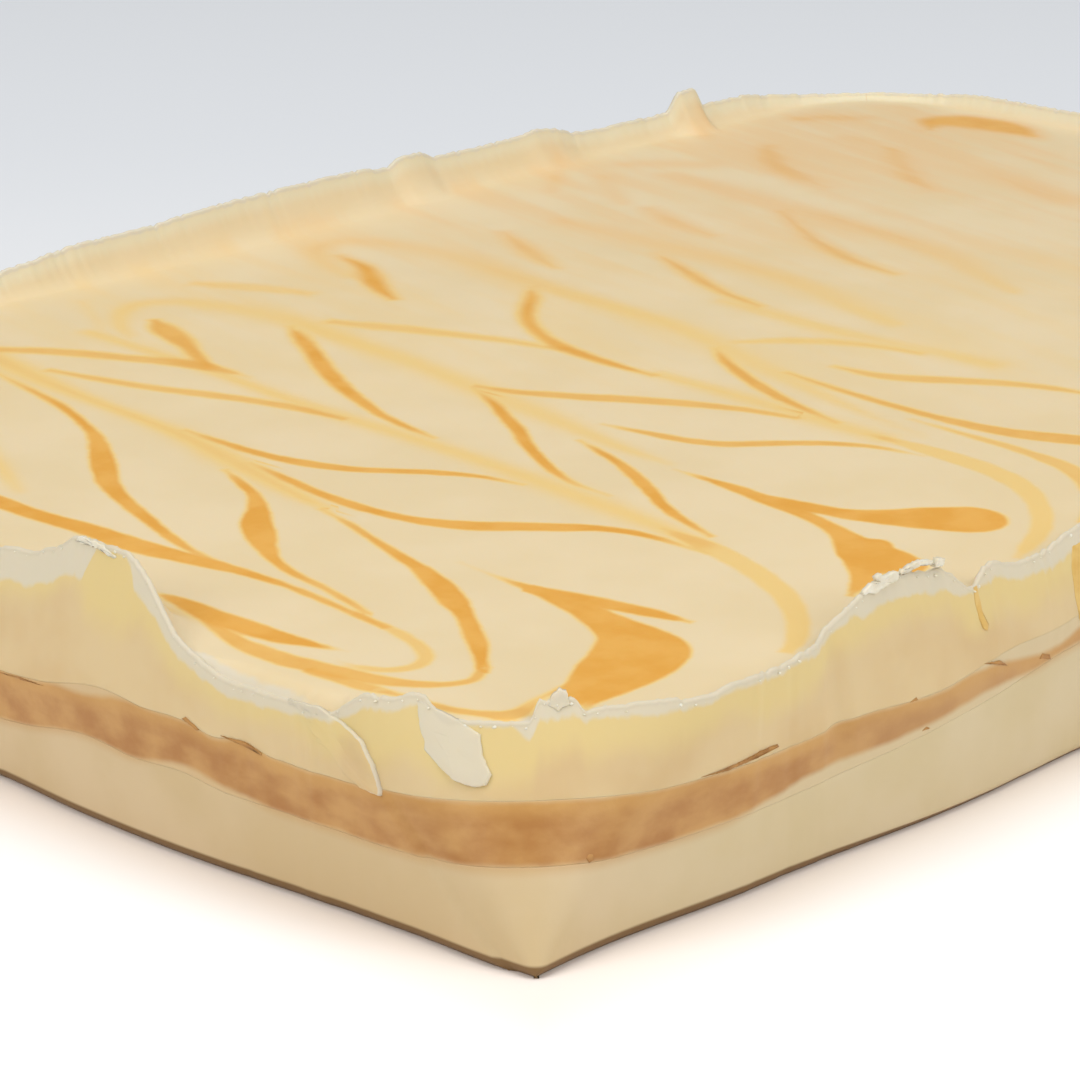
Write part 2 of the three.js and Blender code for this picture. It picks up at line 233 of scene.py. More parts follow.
def crest_height(walk):
    """The torn crest lies a little under the smooth one, most where a lip stands tall."""
    smooth = smooth_crest(walk)
    tall = ramp(smooth - EDGE, 0.4, 3.0)
    notches = np.abs(ripples(walk, shortest=2.0, longest=7, count=6, seed=11))
    return smooth - notches * (RAGGED + RAGGED_MORE * tall)


def crease_step(walk, height):
    """A crease of the paper stepped the wall out along a slanting line on the short side."""
    beyond = -walk_from(walk, 0) - (CREASE["foot"] + CREASE["climb"] * height)
    rise = ramp(beyond, 0, CREASE["edge"])
    return CREASE["proud"] * rise * (1 - ramp(beyond, CREASE["edge"], CREASE["fade"]))


def groove(walk, height):
    """An upright groove in the caramel and the cream."""
    across = swell(walk, GROOVE["at"], GROOVE["reach"], GROOVE["depth"])
    return across * ramp(height, BASE_TOP, CARAMEL_TOP)


def wall_inset(walk, height):
    """How far the wall lies inside the tin's edge, all its shapes and marks together."""
    low = caramel_top(walk)
    share = np.clip((height - low) / (crest_height(walk) - low), 0, 1)
    foot = UNDERCUT * (1 - np.clip(height / FOOT_HEIGHT, 0, 1)) ** 2
    swelling = swells(walk, WALL_SWELLS) * (1 - 0.5 * ramp(height, BASE_TOP, FACE))
    marks = groove(walk, height) - crease_step(walk, height) - paper_ripples(walk, height)
    return np.maximum(foot + over_lips(walk, LEAN) * share**1.6 - swelling + marks, -SWELL_OUT)


def wall_point(walk, height, deeper=0.0):
    """Points on the wall, or this much deeper inside it."""
    height = np.broadcast_to(np.asarray(height, float), walk.shape)
    edge, inward = edge_point(walk, height)
    inset = wall_inset(walk, height) + deeper
    return np.column_stack([edge + inward * inset[:, None], height])


SHORT_WAVE, LONG_WAVE = 0.14, 0.1  # heights of the waves on the face
DIP, DIP_REACH = 0.3, 12  # how far the face dips by the wall, and over what width


def face_height(x, y):
    """The poured face is level, with faint waves, and dips a little by the wall."""
    waves = SHORT_WAVE * np.sin(x / 21 + 0.6) * np.cos(y / 17) + LONG_WAVE * np.sin((x + 1.7 * y) / 33)
    near_wall = np.minimum(LENGTH / 2 - np.abs(x), WIDTH / 2 - np.abs(y))
    return FACE + waves - DIP * (1 - ramp(near_wall, 0, DIP_REACH))


torn_away = smooth_crest(np.arange(0, PERIMETER)) - crest_height(np.arange(0, PERIMETER))
print("deepest notch in the torn crest, mm:", round(float(torn_away.max()), 2))

# %% [markdown]
# ## Where the wall is pale, painted with a glow, or tan
#
# The colours of the side also change along the walk: the torn rim is bleached white, below it a painted
# golden glow stands for light that passes out through the thin cream before the wall turns tan, and the
# caramel's edges thin out unevenly. Painting these by hand would tie them to one mesh. Here the white and
# the painted glow are each a depth in millimetres at a few walks, and the caramel's two edges shift by
# smooth bumps.

# %% Depths of the wall's colours
BLEACHED = [
    (-500, 0.8), (-120, 1.6), (-100, 3.6), (-78, 4.6), (-76.4, 0.5), (-70, 0.5), (-68.4, 2.6),
    (-64, 1.8), (-50, 1.8), (-38, 1.5), (-31, 0.9), (-27, 1.7), (-17, 1.2), (-12, 0.5), (-3, 0.5),
    (-0.5, 1.9), (5, 1.9), (8, 0.9), (18, 1.6), (24, 0.8), (50, 0.9), (55, 1.1), (57.5, 1.3),
    (59, 2.4), (76, 2.6), (78, 0.7), (80.5, 0.9), (83, 1.8), (98, 2.2), (120, 1.6), (160, 0.9),
    (500, 0.8),
]
# depths below the rim of the painted glow, for light that passes out through the thin cream, at a few walks
PAINTED_GLOW = [
    (-500, 2.0), (-100, 3.0), (-79, 4.0), (-76, 7.5), (-70, 7.0), (-66, 3.5), (-58, 2.2), (-42, 2.0),
    (-30, 2.6), (-26, 3.0), (-23, 6.0), (-6, 5.0), (4, 3.4), (14, 3.0), (30, 2.6), (48, 3.4), (53, 1.6),
    (62, 3.8), (78, 3.4), (84, 3.6), (98, 3.8), (130, 2.6), (500, 2.0),
]
# bumps by which the base's colour climbs the caramel, and the cream's comes down over it
PALE_FOOT = [
    (-54, 14, 0.9), (46, 16, 1.2), (62, 24, 1.2), (80, 12, 1.0), (210, 60, 0.8), (420, 70, 0.9),
]
PALE_HEAD = [(-74, 9, 1.2), (91, 16, 2.1), (104, 18, 1.0), (300, 50, 0.7), (600, 80, 0.8)]


def along_walk(walk, knots):
    """A depth that is known at a few walks, and changes evenly between them."""
    places, depths = zip(*knots)
    return np.interp(walk_from(walk, 0), places, depths)


deepest = [max(depth for _, depth in knots) for knots in (BLEACHED, PAINTED_GLOW)]
print("deepest white and yellow, mm:", deepest)

# %% [markdown]
# ## From rings to closed meshes
#
# Every layer is a stack of rings: each ring has one point for each station of the walk, and
# two neighbouring rings make a band of quads. Stations stand close together beside the
# corner that the camera sees and further apart elsewhere, the same on opposite sides, so
# that a grid of straight rows can later span the face.

# %% Stations
FINE, COARSE = 0.5, 0.7  # steps between stations, in millimetres
FINE_X, FINE_Y = 116.0, 84.0  # how far the fine steps reach from the near corner


def steps_along(length, fine_reach):
    fine = np.arange(0, fine_reach, FINE)
    coarse = np.linspace(fine_reach, length, 1 + 2 * round((length - fine_reach) / COARSE / 2))
    return np.concatenate([fine, coarse])


STEPS_X, STEPS_Y = steps_along(LENGTH, FINE_X), steps_along(WIDTH, FINE_Y)
STATIONS = np.concatenate([
    STEPS_X[:-1],
    LENGTH + STEPS_Y[:-1],
    LENGTH + WIDTH + (LENGTH - STEPS_X[::-1])[:-1],
    PERIMETER - STEPS_Y[::-1][:-1],
])
COUNT = len(STATIONS)
print("stations round the slab:", COUNT)


# %% Skins and pieces
def put_in_scene(name, data):
    """A new object at the origin that carries a mesh, a lamp or a camera."""
    thing = bpy.data.objects.new(name, data)
    bpy.context.scene.collection.objects.link(thing)
    return thing


class Skin:
    """Collects points, faces and values on the points, and makes a closed mesh of them."""

    def __init__(self):
        self.points, self.faces, self.flat = [], [], []
        self.values = {}
        self.size = 0

    def add(self, points, **values):
        """Adds points and returns the index of the first. A value holds for one point or all."""
        start = self.size
        self.points.append(points)
        self.size += len(points)
        for name, value in values.items():
            value = np.asarray(value, float)
            wide = (len(points),) + value.shape[1:]
            self.values.setdefault(name, []).append((start, np.broadcast_to(value, wide)))
        return start

    def band(self, low, high, flat=False, count=COUNT):
        """Quads between two rings, facing outwards where the second ring is the higher."""
        k = np.arange(count)
        n = (k + 1) % count
        if flat:
            self.flat += range(len(self.faces), len(self.faces) + count)
        self.faces += np.column_stack([low + k, low + n, high + n, high + k]).tolist()

    def cap(self, ring, up, count=COUNT):
        """One many-sided face that closes a level ring."""
        loop = list(range(ring, ring + count))
        self.flat.append(len(self.faces))
        self.faces.append(loop if up else loop[::-1])

    def piece(self, name):
        """The closed mesh in an object, with the values as attributes of its points."""
        mesh = bpy.data.meshes.new(name)
        points = np.concatenate(self.points) * MM
        mesh.from_pydata(points.tolist(), [], self.faces)
        mesh.shade_smooth()
        for index in self.flat:
            mesh.polygons[index].use_smooth = False
        for key, parts in self.values.items():
            shape = (self.size,) + parts[0][1].shape[1:]
            filled = np.zeros(shape)
            for start, value in parts:
                filled[start:start + len(value)] = value
            kind = "FLOAT_VECTOR" if filled.ndim == 2 else "FLOAT"
            attribute = mesh.attributes.new(key, kind, "POINT")
            attribute.data.foreach_set("vector" if filled.ndim == 2 else "value", filled.ravel())
        mesh.validate()
        triangles = sum(len(face) - 2 for face in self.faces)
        print(f"{name}: {self.size} points, {triangles} triangles")
        return put_in_scene(name, mesh)


def rows_up(skin, heights, measure):
    """Adds a ring for each row of heights, with bands between them, and returns the last."""
    last = None
    for height in heights:
        ring = skin.add(wall_point(STATIONS, height), walk=walk_from(STATIONS, 0), **measure(height))
        if last is not None:
            skin.band(last, ring)
        last = ring
    return last


def between(low, high, count):
    """Rows of heights from one row to the next, both included, closest at the two ends."""
    shares = 0.5 - 0.5 * np.cos(np.linspace(0, math.pi, count))
    return [low + (high - low) * share for share in shares]


JOINT_SHARE = 0.12  # the share by which a joint's ring shrinks
JOINT_SPINE = 60  # half the length of the line that it shrinks towards


def joint_ring(walk_ring, level):
    """A ring a little inside another, on the hidden joint between two layers."""
    inner = walk_ring.copy()
    toward = np.clip(inner[:, 0], -JOINT_SPINE, JOINT_SPINE)
    inner[:, 0] += (toward - inner[:, 0]) * JOINT_SHARE
    inner[:, 1] *= 1 - JOINT_SHARE
    inner[:, 2] = level
    return inner


# %% [markdown]
# ## The base and the caramel
#
# Both lower layers show only at the sides. Each is a wall between two wavy heights, closed
# above and below: the base by the flat underside, and both by the joints inside the slab.

# %% The two lower layers
FOOT_ROWS = (0.0, 0.1, 0.3, 0.6, 0.9, FOOT_HEIGHT)
BASE_ROWS, CARAMEL_ROWS, CREAM_ROWS = 14, 12, 17


def base_layer():
    """The base. Its painted shadow of the caramel is left out where the caramel's own edge is pale."""
    skin = Skin()
    foot = [np.full(COUNT, height) for height in FOOT_ROWS]
    top = base_top(STATIONS)
    heights = foot + between(foot[-1], top, BASE_ROWS)[1:]
    # where the caramel's own edge is pale, the painted shadow under it is lifted
    clear = 2 * swells(STATIONS, PALE_FOOT)
    last = rows_up(skin, heights, lambda height: dict(below=top - height + clear))
    skin.cap(0, up=False)
    inner = skin.add(joint_ring(wall_point(STATIONS, top), BASE_TOP_INSIDE))
    skin.band(last, inner, flat=True)
    skin.cap(inner, up=True)
    return skin.piece("pale_base")


def caramel_layer():
    """The caramel. Its colour stops at a foot and a head that lie a little inside its edges."""
    skin = Skin()
    low, high = base_top(STATIONS), caramel_top(STATIONS)
    foot, head = low + swells(STATIONS, PALE_FOOT), high - swells(STATIONS, PALE_HEAD)

    def measure(height):
        return dict(inside=np.minimum(height - foot, head - height), below=head - height)

    last = rows_up(skin, between(low, high, CARAMEL_ROWS), measure)
    under = skin.add(joint_ring(wall_point(STATIONS, low), BASE_TOP_INSIDE))
    skin.band(under, 0, flat=True)
    skin.cap(under, up=False)
    over = skin.add(joint_ring(wall_point(STATIONS, high), CARAMEL_TOP_INSIDE))
    skin.band(last, over, flat=True)
    skin.cap(over, up=True)
    return skin.piece("caramel_band")


pale_base = base_layer()
caramel_band = caramel_layer()

# %% [markdown]
# ## The marbling
#
# Caramel was piped across the soft cream in lines. A skewer drawn up and down through them
# pulled each line into feathers, thick where the caramel stayed and thin where it was
# dragged. The colour is painted on the face, but an image would be out of place here: each
# streak is a smooth curve with a half width at every point, and the shader is told how far
# each point of the face lies from the nearest one. Streaks that run together lie in
# different sets, so that the distances never jump between the two.

# %% The streaks
# Each streak is its tone and its points: x and y from the near corner, and half the width.
FIRST_STREAKS = [
    (1.0, [(23.2, 121, 1.9), (22.6, 110, 1.8), (22.9, 100, 2.0), (22.6, 91, 2.3), (23.6, 82, 1.8),
           (24.7, 74, 1.2), (24.9, 66, 0.8), (24, 57, 0.75), (22.6, 47, 0.7)]),
    (1.0, [(49.2, 84, 0.5), (47.3, 77, 0.7), (45.2, 71, 0.8), (43, 64.5, 1.0), (40.7, 57.5, 1.4),
           (38, 52, 1.9), (35.2, 47, 1.9), (32.2, 42.2, 1.3), (26.5, 34.8, 1.4), (22.5, 30.2, 1.0),
           (19, 26.6, 0.8)]),
    (0.85, [(20, 27.4, 0.8), (15.8, 25.5, 0.8), (12.6, 27, 0.9), (9.9, 30.8, 1.3), (8.2, 36, 1.6),
            (7, 42, 1.8), (6.3, 48, 1.8), (6.6, 54, 1.5), (8.2, 60, 1.0), (10, 66, 0.5)]),
    (1.0, [(19.8, 12, 1.3), (22, 12.8, 2.9), (25, 13.5, 4.0), (30, 14.9, 5.5), (34, 16.2, 6.0),
           (37.5, 18.2, 5.9), (40.3, 22.3, 4.3), (42, 27.5, 3.0), (43.6, 33, 2.3), (44.7, 39, 1.7),
           (45.2, 44.5, 0.9), (45.4, 49, 0.5), (46.2, 56, 0.3)]),
    (1.0, [(57.5, 106, 0.4), (56, 99, 0.8), (54.3, 91, 1.0), (53.6, 84, 1.2), (53.8, 77, 1.2),
           (55.2, 71, 1.5), (57.8, 66, 1.9), (61.2, 61.8, 1.8), (65, 57.3, 1.7), (68.2, 53, 1.3),
           (69.9, 48.5, 1.0), (70.3, 43.5, 0.7), (69.9, 37, 0.4)]),
    (0.95, [(62.3, 124, 0.5), (61.6, 115, 0.9), (61.6, 107, 1.2), (62.7, 100.5, 1.4),
            (64.8, 95, 1.3), (68, 90.3, 1.2), (71.5, 85.5, 1.2), (74, 80.5, 0.9), (75.3, 74, 0.5)]),
    (0.75, [(69.3, 160, 0.8), (71, 152, 1.2), (73, 144, 1.3), (75.8, 136.5, 1.5), (78.4, 129, 1.4),
            (80.2, 121.5, 1.2), (81, 114, 0.7)]),
    (0.75, [(71, 175, 1.3), (75, 169.5, 1.8), (78.7, 162.5, 1.8), (82, 155, 1.7), (84.8, 148.5, 1.9),
            (86, 143, 1.2), (86.3, 138, 0.4)]),
    (1.0, [(104, 109, 0.4), (101, 103, 0.9), (97.5, 97.5, 1.1), (93.5, 91, 1.2), (90, 86.5, 1.1),
           (86.5, 81, 1.0), (83, 75, 0.9), (80.5, 69, 0.6), (79.5, 62, 0.4)]),
    (1.0, [(95.5, 81, 0.5), (93.6, 76, 0.8), (91.5, 71, 0.9), (88, 64.5, 1.1), (84, 58, 1.1),
           (80.5, 52.5, 1.0), (77.8, 46.5, 0.8), (75.8, 41, 0.6)]),
    (1.0, [(108.3, 151.5, 0.5), (105, 146, 1.4), (101.5, 140, 1.5), (97.5, 134, 1.6), (93.5, 127, 1.5),
           (90.5, 121, 1.3), (88, 115, 1.1), (86, 110, 0.9), (84.5, 104, 0.8), (83.3, 98, 0.5)]),
    (1.0, [(94, 62, 0.4), (93.4, 55, 0.9), (92.8, 50, 1.3), (91.6, 44, 1.5), (90.8, 39, 1.4),
           (89.3, 33, 1.4), (87.3, 28, 1.9), (85, 23.5, 3.4), (83.5, 18.5, 4.2), (83, 15.5, 3.6)]),
    (0.85, [(104, 84, 0.5), (104.8, 77, 1.0), (105.7, 70.5, 1.3), (108, 65.5, 1.4), (111.5, 62, 1.4),
            (115.5, 58, 1.2), (118.5, 54, 1.1), (120.5, 49.5, 0.8), (121.5, 43, 0.4)]),
    (0.8, [(106, 110, 0.6), (107.5, 105, 1.2), (109.5, 101, 1.5), (112, 96.5, 1.7), (115, 91.5, 1.8),
           (118, 86, 1.7), (120.6, 80.5, 1.5), (122.6, 75, 1.2), (124, 68, 0.7)]),
    (0.6, [(115.5, 149, 1.4), (117.5, 144, 1.9), (120.3, 138, 1.9), (123, 131, 1.6),
           (125.8, 123.5, 1.4), (127.5, 116, 1.0)]),
    (0.9, [(143, 98, 0.5), (140, 94, 1.0), (136.5, 88, 1.2), (133, 81, 1.3), (130.5, 75, 1.1),
           (128.5, 69, 0.8), (126.5, 62, 0.5)]),
    (0.5, [(117.5, 181, 1.4), (119.5, 177, 2.1), (122, 171.5, 2.2), (124, 165.5, 1.4)]),
    (1.0, [(144, 177, 0.6), (142, 170.5, 1.6), (139, 166, 2.0), (136, 162, 2.0), (133.5, 158, 1.6),
           (131.3, 153.5, 0.8)]),
    (0.7, [(134.6, 54, 0.5), (133.6, 43, 0.9), (132.6, 33, 1.2), (130.8, 25.5, 1.6), (126.5, 18.5, 1.6),
           (121, 13.5, 1.2), (114, 10, 0.7)]),
    (0.7, [(148.3, 79, 0.7), (148.8, 73, 1.4), (151, 68, 1.8), (154.5, 63, 1.8), (158, 57.5, 1.6),
           (161, 50.5, 1.2), (162.5, 43, 0.7)]),
    (0.5, [(149, 98, 0.8), (152.5, 95, 1.5), (156.5, 90.5, 1.6), (160, 84, 1.3), (162, 76, 0.8)]),
    (0.6, [(162.6, 149, 0.8), (164.6, 153.5, 1.7), (166.8, 158, 2.1), (169.6, 163, 1.8), (173, 169, 0.9)]),
    (0.8, [(179.5, 142, 0.6), (176.5, 136, 1.3), (173.5, 130, 1.6), (170.5, 124, 1.5), (168, 118, 1.1),
           (166, 110, 0.7)]),
    (0.65, [(213.5, 145, 0.7), (209.5, 139, 1.4), (205.5, 133, 1.7), (202, 127, 1.7), (199, 121, 1.8),
            (196.6, 115, 1.5), (195, 107, 0.8)]),
    (0.5, [(194.8, 145, 1.2), (196, 151, 2.4), (198.2, 157, 2.6), (201, 163, 1.6)]),
    (0.5, [(232.5, 152, 1.2), (234.5, 159, 2.4), (237.5, 165.5, 2.6), (242, 171.5, 2.4),
           (248, 177.5, 1.6)]),
    (0.45, [(243, 138, 1.2), (246.5, 143.5, 2.2), (251, 149, 2.5), (256, 155, 2.2), (261, 160, 1.2)]),
    (0.9, [(279, 166, 0.8), (283.5, 168.5, 3.2), (287.5, 166, 5.0), (289, 161, 5.4), (288.8, 155.5, 4.4),
           (287.6, 151, 2.4), (286.5, 147.5, 0.5)]),
    # beyond the feathers that show: the far left
    (0.9, [(7, 172, 0.5), (12, 162, 1.0), (17, 150, 1.3), (21, 135, 1.6), (23.2, 121, 1.9)]),
    (0.8, [(8, 192, 0.6), (16, 179, 1.4), (25, 166, 1.6), (30, 153, 1.2), (32, 143, 0.5)]),
]
SECOND_STREAKS = [
    (1.0, [(63, 166, 0.5), (61, 157, 0.7), (58.6, 147, 0.9), (55.5, 139, 0.9), (52, 132, 1.1),
           (48, 126.5, 1.6), (43, 120, 1.9), (38.5, 114, 1.6), (34.5, 106.5, 1.3), (31, 98, 1.1),
           (28, 90.5, 0.9), (26, 84, 0.7), (25.1, 77, 0.5)]),
    (1.0, [(52.5, 106, 0.5), (50.5, 101.5, 0.8), (47.5, 95.5, 1.0), (44, 91, 1.5), (40, 87.2, 2.1),
           (36.5, 82.8, 2.2), (33.5, 78.5, 1.5), (31, 74.5, 1.0), (28.9, 69, 0.8), (27.6, 62, 0.7),
           (25.9, 55.5, 0.7), (24.6, 51.5, 0.6)]),
    (0.62, [(23.4, 51, 0.7), (22.2, 44, 0.95), (20, 37.6, 1.05), (17.5, 34.5, 1.0), (14.8, 33.7, 1.0),
            (12.2, 34.9, 0.9), (10.4, 38, 0.7), (9.9, 41, 0.4)]),
    (1.0, [(12, 75.8, 0.3), (11.8, 71, 1.3), (11, 64.5, 2.0), (10.8, 58, 2.2), (11.2, 52.5, 1.8),
           (12, 48, 1.0), (13, 44, 0.3)]),
    (0.8, [(5.7, 41, 0.9), (6.1, 34, 1.1), (6.9, 28, 0.7), (7.1, 24, 0.8), (7.6, 20, 0.9),
           (8.8, 16.6, 1.0), (10.3, 14.2, 1.5), (12.5, 13.9, 1.4), (15, 15, 0.7), (18.5, 15.6, 0.7),
           (22, 15.8, 0.9)]),
    (1.0, [(18.6, 9.6, 0.5), (22, 10.8, 1.4), (27, 12.2, 2.6)]),
    (1.0, [(45.2, 42, 1.4), (46.3, 36, 1.9), (47.5, 30, 1.7), (48.4, 25, 1.3), (48.8, 21.5, 0.6)]),
    (0.9, [(97, 169, 0.9), (95.2, 165.5, 2.2), (93.2, 160.5, 2.2), (91, 155.5, 1.6), (88.3, 150.5, 1.3),
           (86.2, 146, 1.0)]),
    (0.52, [(73.6, 46, 0.4), (72.4, 39.5, 1.7), (70, 30.5, 1.8), (66.8, 23, 1.8), (63, 16.8, 1.7),
            (59, 12.2, 1.5), (55.3, 9, 1.4), (52.3, 6.8, 1.2), (49.5, 5.5, 0.8)]),
    (1.0, [(87, 23, 2.6), (84.8, 22.5, 3.4), (81.5, 19.5, 3.2), (77.5, 16.6, 2.0), (73.5, 14.4, 1.1),
           (70.5, 13, 0.6)]),
    (1.0, [(92.4, 46, 1.2), (92.9, 41, 1.8), (93.8, 36, 1.8), (95.4, 31.5, 2.4), (98, 27.7, 3.5),
           (101, 24, 4.7), (103.6, 20.6, 5.3)]),
    (0.52, [(124.8, 54, 0.4), (124.1, 43, 1.9), (122.6, 32, 2.0), (119.8, 24.5, 1.9), (115.5, 18.6, 1.6),
            (110.5, 14, 1.5), (105.5, 10.8, 1.4), (100.5, 8.8, 1.1), (97, 7.5, 0.6)]),
    (0.95, [(149.8, 141.8, 0.5), (146, 138, 1.3), (141.5, 134.5, 1.4), (137, 130.5, 1.4),
            (133, 125, 1.3), (130, 119, 1.4), (128.2, 112.5, 1.5), (127.4, 105, 1.2), (127, 97, 0.6)]),
    (0.85, [(141, 82, 0.6), (139.3, 71, 0.9), (138.2, 60, 1.1), (137.8, 50, 1.4), (138.7, 41, 2.0),
            (141.3, 34, 2.4), (144, 28, 2.2), (145.6, 24, 2.0)]),
    (0.9, [(26, 128, 0.5), (31, 140, 1.2), (37, 150, 1.7), (44, 159, 1.4), (52, 168, 0.8)]),
]

# %% The pale trails of the skewer
TRAILS = [
    (0.6, [(50, 84, 1.0), (52, 93, 1.6), (54.8, 103, 2.2), (57.3, 112, 2.5), (60, 122, 2.0),
           (61.8, 133, 1.6), (63.2, 145, 1.5), (64.6, 155, 2.0), (66.5, 165, 2.6), (69, 176, 2.6)]),
    (0.5, [(86.5, 172, 1.6), (85.5, 160, 1.5), (84, 138, 1.4), (82.6, 126, 1.7), (81.8, 113, 1.9),
           (81.2, 101, 1.9), (80, 88, 2.0), (78.5, 77, 2.2), (76.8, 66, 2.4), (75.3, 56, 2.3),
           (73.8, 47, 2.0), (72.3, 39, 1.8)]),
    (0.45, [(89, 166, 1.0), (92.5, 172, 1.4), (97, 176.8, 1.7), (102.5, 179, 2.0), (107, 176, 2.5),
            (110, 169, 3.0), (111, 160, 3.3), (110.5, 150, 3.0), (109.3, 138, 2.5), (108, 126, 2.5),
            (106, 115, 2.9), (104, 105, 2.9), (102, 95, 2.6), (99.5, 85, 2.0), (97, 75, 1.4),
            (95.6, 65, 0.9)]),
    (0.35, [(83, 163, 0.8), (88, 171, 1.0), (93, 178.5, 1.0), (98, 187, 1.0)]),
    (0.48, [(128, 96, 1.5), (127.5, 84, 1.8), (126.6, 73, 2.1), (125.4, 62, 2.3), (124.6, 52, 2.2)]),
    (0.42, [(136, 168, 1.5), (139.5, 177, 2.2), (145, 184, 2.6), (151, 184.5, 3), (155.5, 177, 3.2),
            (157, 166, 3.4), (154.5, 152, 3), (152, 138, 2.6), (150.5, 125, 2.4), (149, 113, 2.6),
            (146, 102, 2.6), (142.5, 92, 2.6), (138.5, 80, 2.0), (134.5, 68, 1.4), (131.5, 58, 1.0),
            (129, 48, 0.8)]),
    (0.4, [(164, 115, 1.6), (163.5, 104, 1.8), (163, 92, 1.8), (164, 78, 2.0), (165, 64, 2.4)]),
    (0.42, [(185, 168, 2.5), (185, 152, 3), (183.5, 136, 2.8), (181.5, 121, 2.8), (178.5, 109, 2.8),
            (175.3, 99, 2.5), (172, 88, 1.8)]),
    (0.42, [(221, 176, 2.5), (219.5, 162, 3.2), (217.5, 147, 3.0), (215.5, 131, 3.0), (212.5, 116, 3.2),
            (208, 105, 3.0), (203, 95, 2.2), (199, 86, 1.4)]),
    (0.35, [(201, 169, 1.5), (206, 176, 2.0), (212, 184, 2.0)]),
    (0.35, [(199, 183, 1.2), (206, 189, 1.6), (214, 195, 1.6)]),
    (0.4, [(222, 187, 2.0), (226.5, 182.5, 3.2), (231, 176.5, 3.0)]),
    (0.36, [(262, 172, 2.5), (259, 160, 3.5), (257, 145, 3.5), (255.5, 130, 3.5), (252, 117, 3.0)]),
    (0.3, [(246, 190, 1.2), (252, 196, 1.4)]),
    (0.45, [(269, 188, 2.5), (273, 185, 3.5), (277, 180, 2.5)]),
    (0.45, [(9.5, 60, 0.8), (8, 80, 1.6), (9, 110, 1.8), (10, 150, 2.0), (12, 178, 2.0)]),
    (0.45, [(28, 120, 1.0), (36, 135, 1.6), (44, 155, 2.0), (50, 172, 2.4), (57, 178, 2.4),
            (63, 168, 2.2)]),
]

# %% [markdown]
# Towards the right the same feathers come back at every pair of passes, so a loop repeats the
# streaks of the second pair there, and lets them thin out where they meet those above.

# %% The feathers that repeat
FEATHER_SHIFTS = (42, 82, 121, 158, 190)
LINE_START, LINE_SLOPE = 103.0, 0.727  # the repeats stay below a line: its x at y = 0, and its slope
LINE_FADE = 12.0  # how far below the line they start to thin out
FEATHER_FROM, FEATHER_TO = 73.0, 107.0  # streaks that start between these x come back
FEATHER_TOP = 112.0  # if they start below this y
END_GAP, THINNEST = 4.0, 0.1  # how near the slab's end a copy may come, and how thin it may be


def repeated(streaks):
    """Copies of one pair's streaks along the slab, thinned towards the slanting line."""
    copies = []
    for tone, points in streaks:
        first_x, first_y, _ = points[0]
        if not (FEATHER_FROM <= first_x <= FEATHER_TO and first_y < FEATHER_TOP):
            continue
        for shift in FEATHER_SHIFTS:
            moved = []
            for x, y, girth in points:
                below = (x + shift - LINE_START) * LINE_SLOPE - y
                moved.append((x + shift, y, girth * float(ramp(below, 0, LINE_FADE))))
            moved = [(x, y, girth) for x, y, girth in moved if girth > THINNEST and x < LENGTH - END_GAP]
            if len(moved) > 2:
                copies.append((tone, moved))
    return copies


FIRST_STREAKS += repeated(FIRST_STREAKS)
SECOND_STREAKS += repeated(SECOND_STREAKS)
TRAILS += repeated(TRAILS)
print("streaks:", len(FIRST_STREAKS), "and", len(SECOND_STREAKS), "- trails:", len(TRAILS))

# %% How far each point lies from a streak
STREAK_STEP, STREAK_REACH = 0.4, 9.0
FAR_AWAY = 30.0  # stands for a distance that is past the reach
SLACK = 0.9  # a thin streak can slip between two points of the grid by this much
SLACK_FADE = (1.2, 2.2)  # half widths between which that slack ends
TONE_RISE, TRAIL_RISE = (0.1, 0.9), (0.4, 1.4)  # half widths over which a tone comes up
TRAIL_FALL = 0.75  # how fast a trail fades away from its middle
BATCH = 8000  # how many points are measured at once


def smooth_curve(points):
    """Points every STREAK_STEP along a curve through the given ones (a Hermite spline)."""
    knots = np.array(points, float)
    gaps = np.hypot(*np.diff(knots[:, :2], axis=0).T)
    at = np.concatenate([[0], np.cumsum(gaps)])
    slopes = np.gradient(knots, at, axis=0)
    along = np.arange(0, at[-1], STREAK_STEP)
    k = np.clip(np.searchsorted(at, along, side="right") - 1, 0, len(knots) - 2)
    gap = (at[k + 1] - at[k])[:, None]
    t = ((along - at[k])[:, None]) / gap
    ends = (2 * t**3 - 3 * t**2 + 1) * knots[k] + (3 * t**2 - 2 * t**3) * knots[k + 1]
    return ends + (t**3 - 2 * t**2 + t) * gap * slopes[k] + (t**3 - t**2) * gap * slopes[k + 1]


def near_curve(flat, curve):
    """Batches of the points within reach of a curve, and their distances to all of its points."""
    low, high = curve[:, :2].min(0) - STREAK_REACH, curve[:, :2].max(0) + STREAK_REACH
    near = np.nonzero(((flat > low) & (flat < high)).all(1))[0]
    for start in range(0, len(near), BATCH):
        batch = near[start:start + BATCH]
        apart = flat[batch, None, :] - curve[None, :, :2]
        yield batch, np.hypot(apart[..., 0], apart[..., 1])


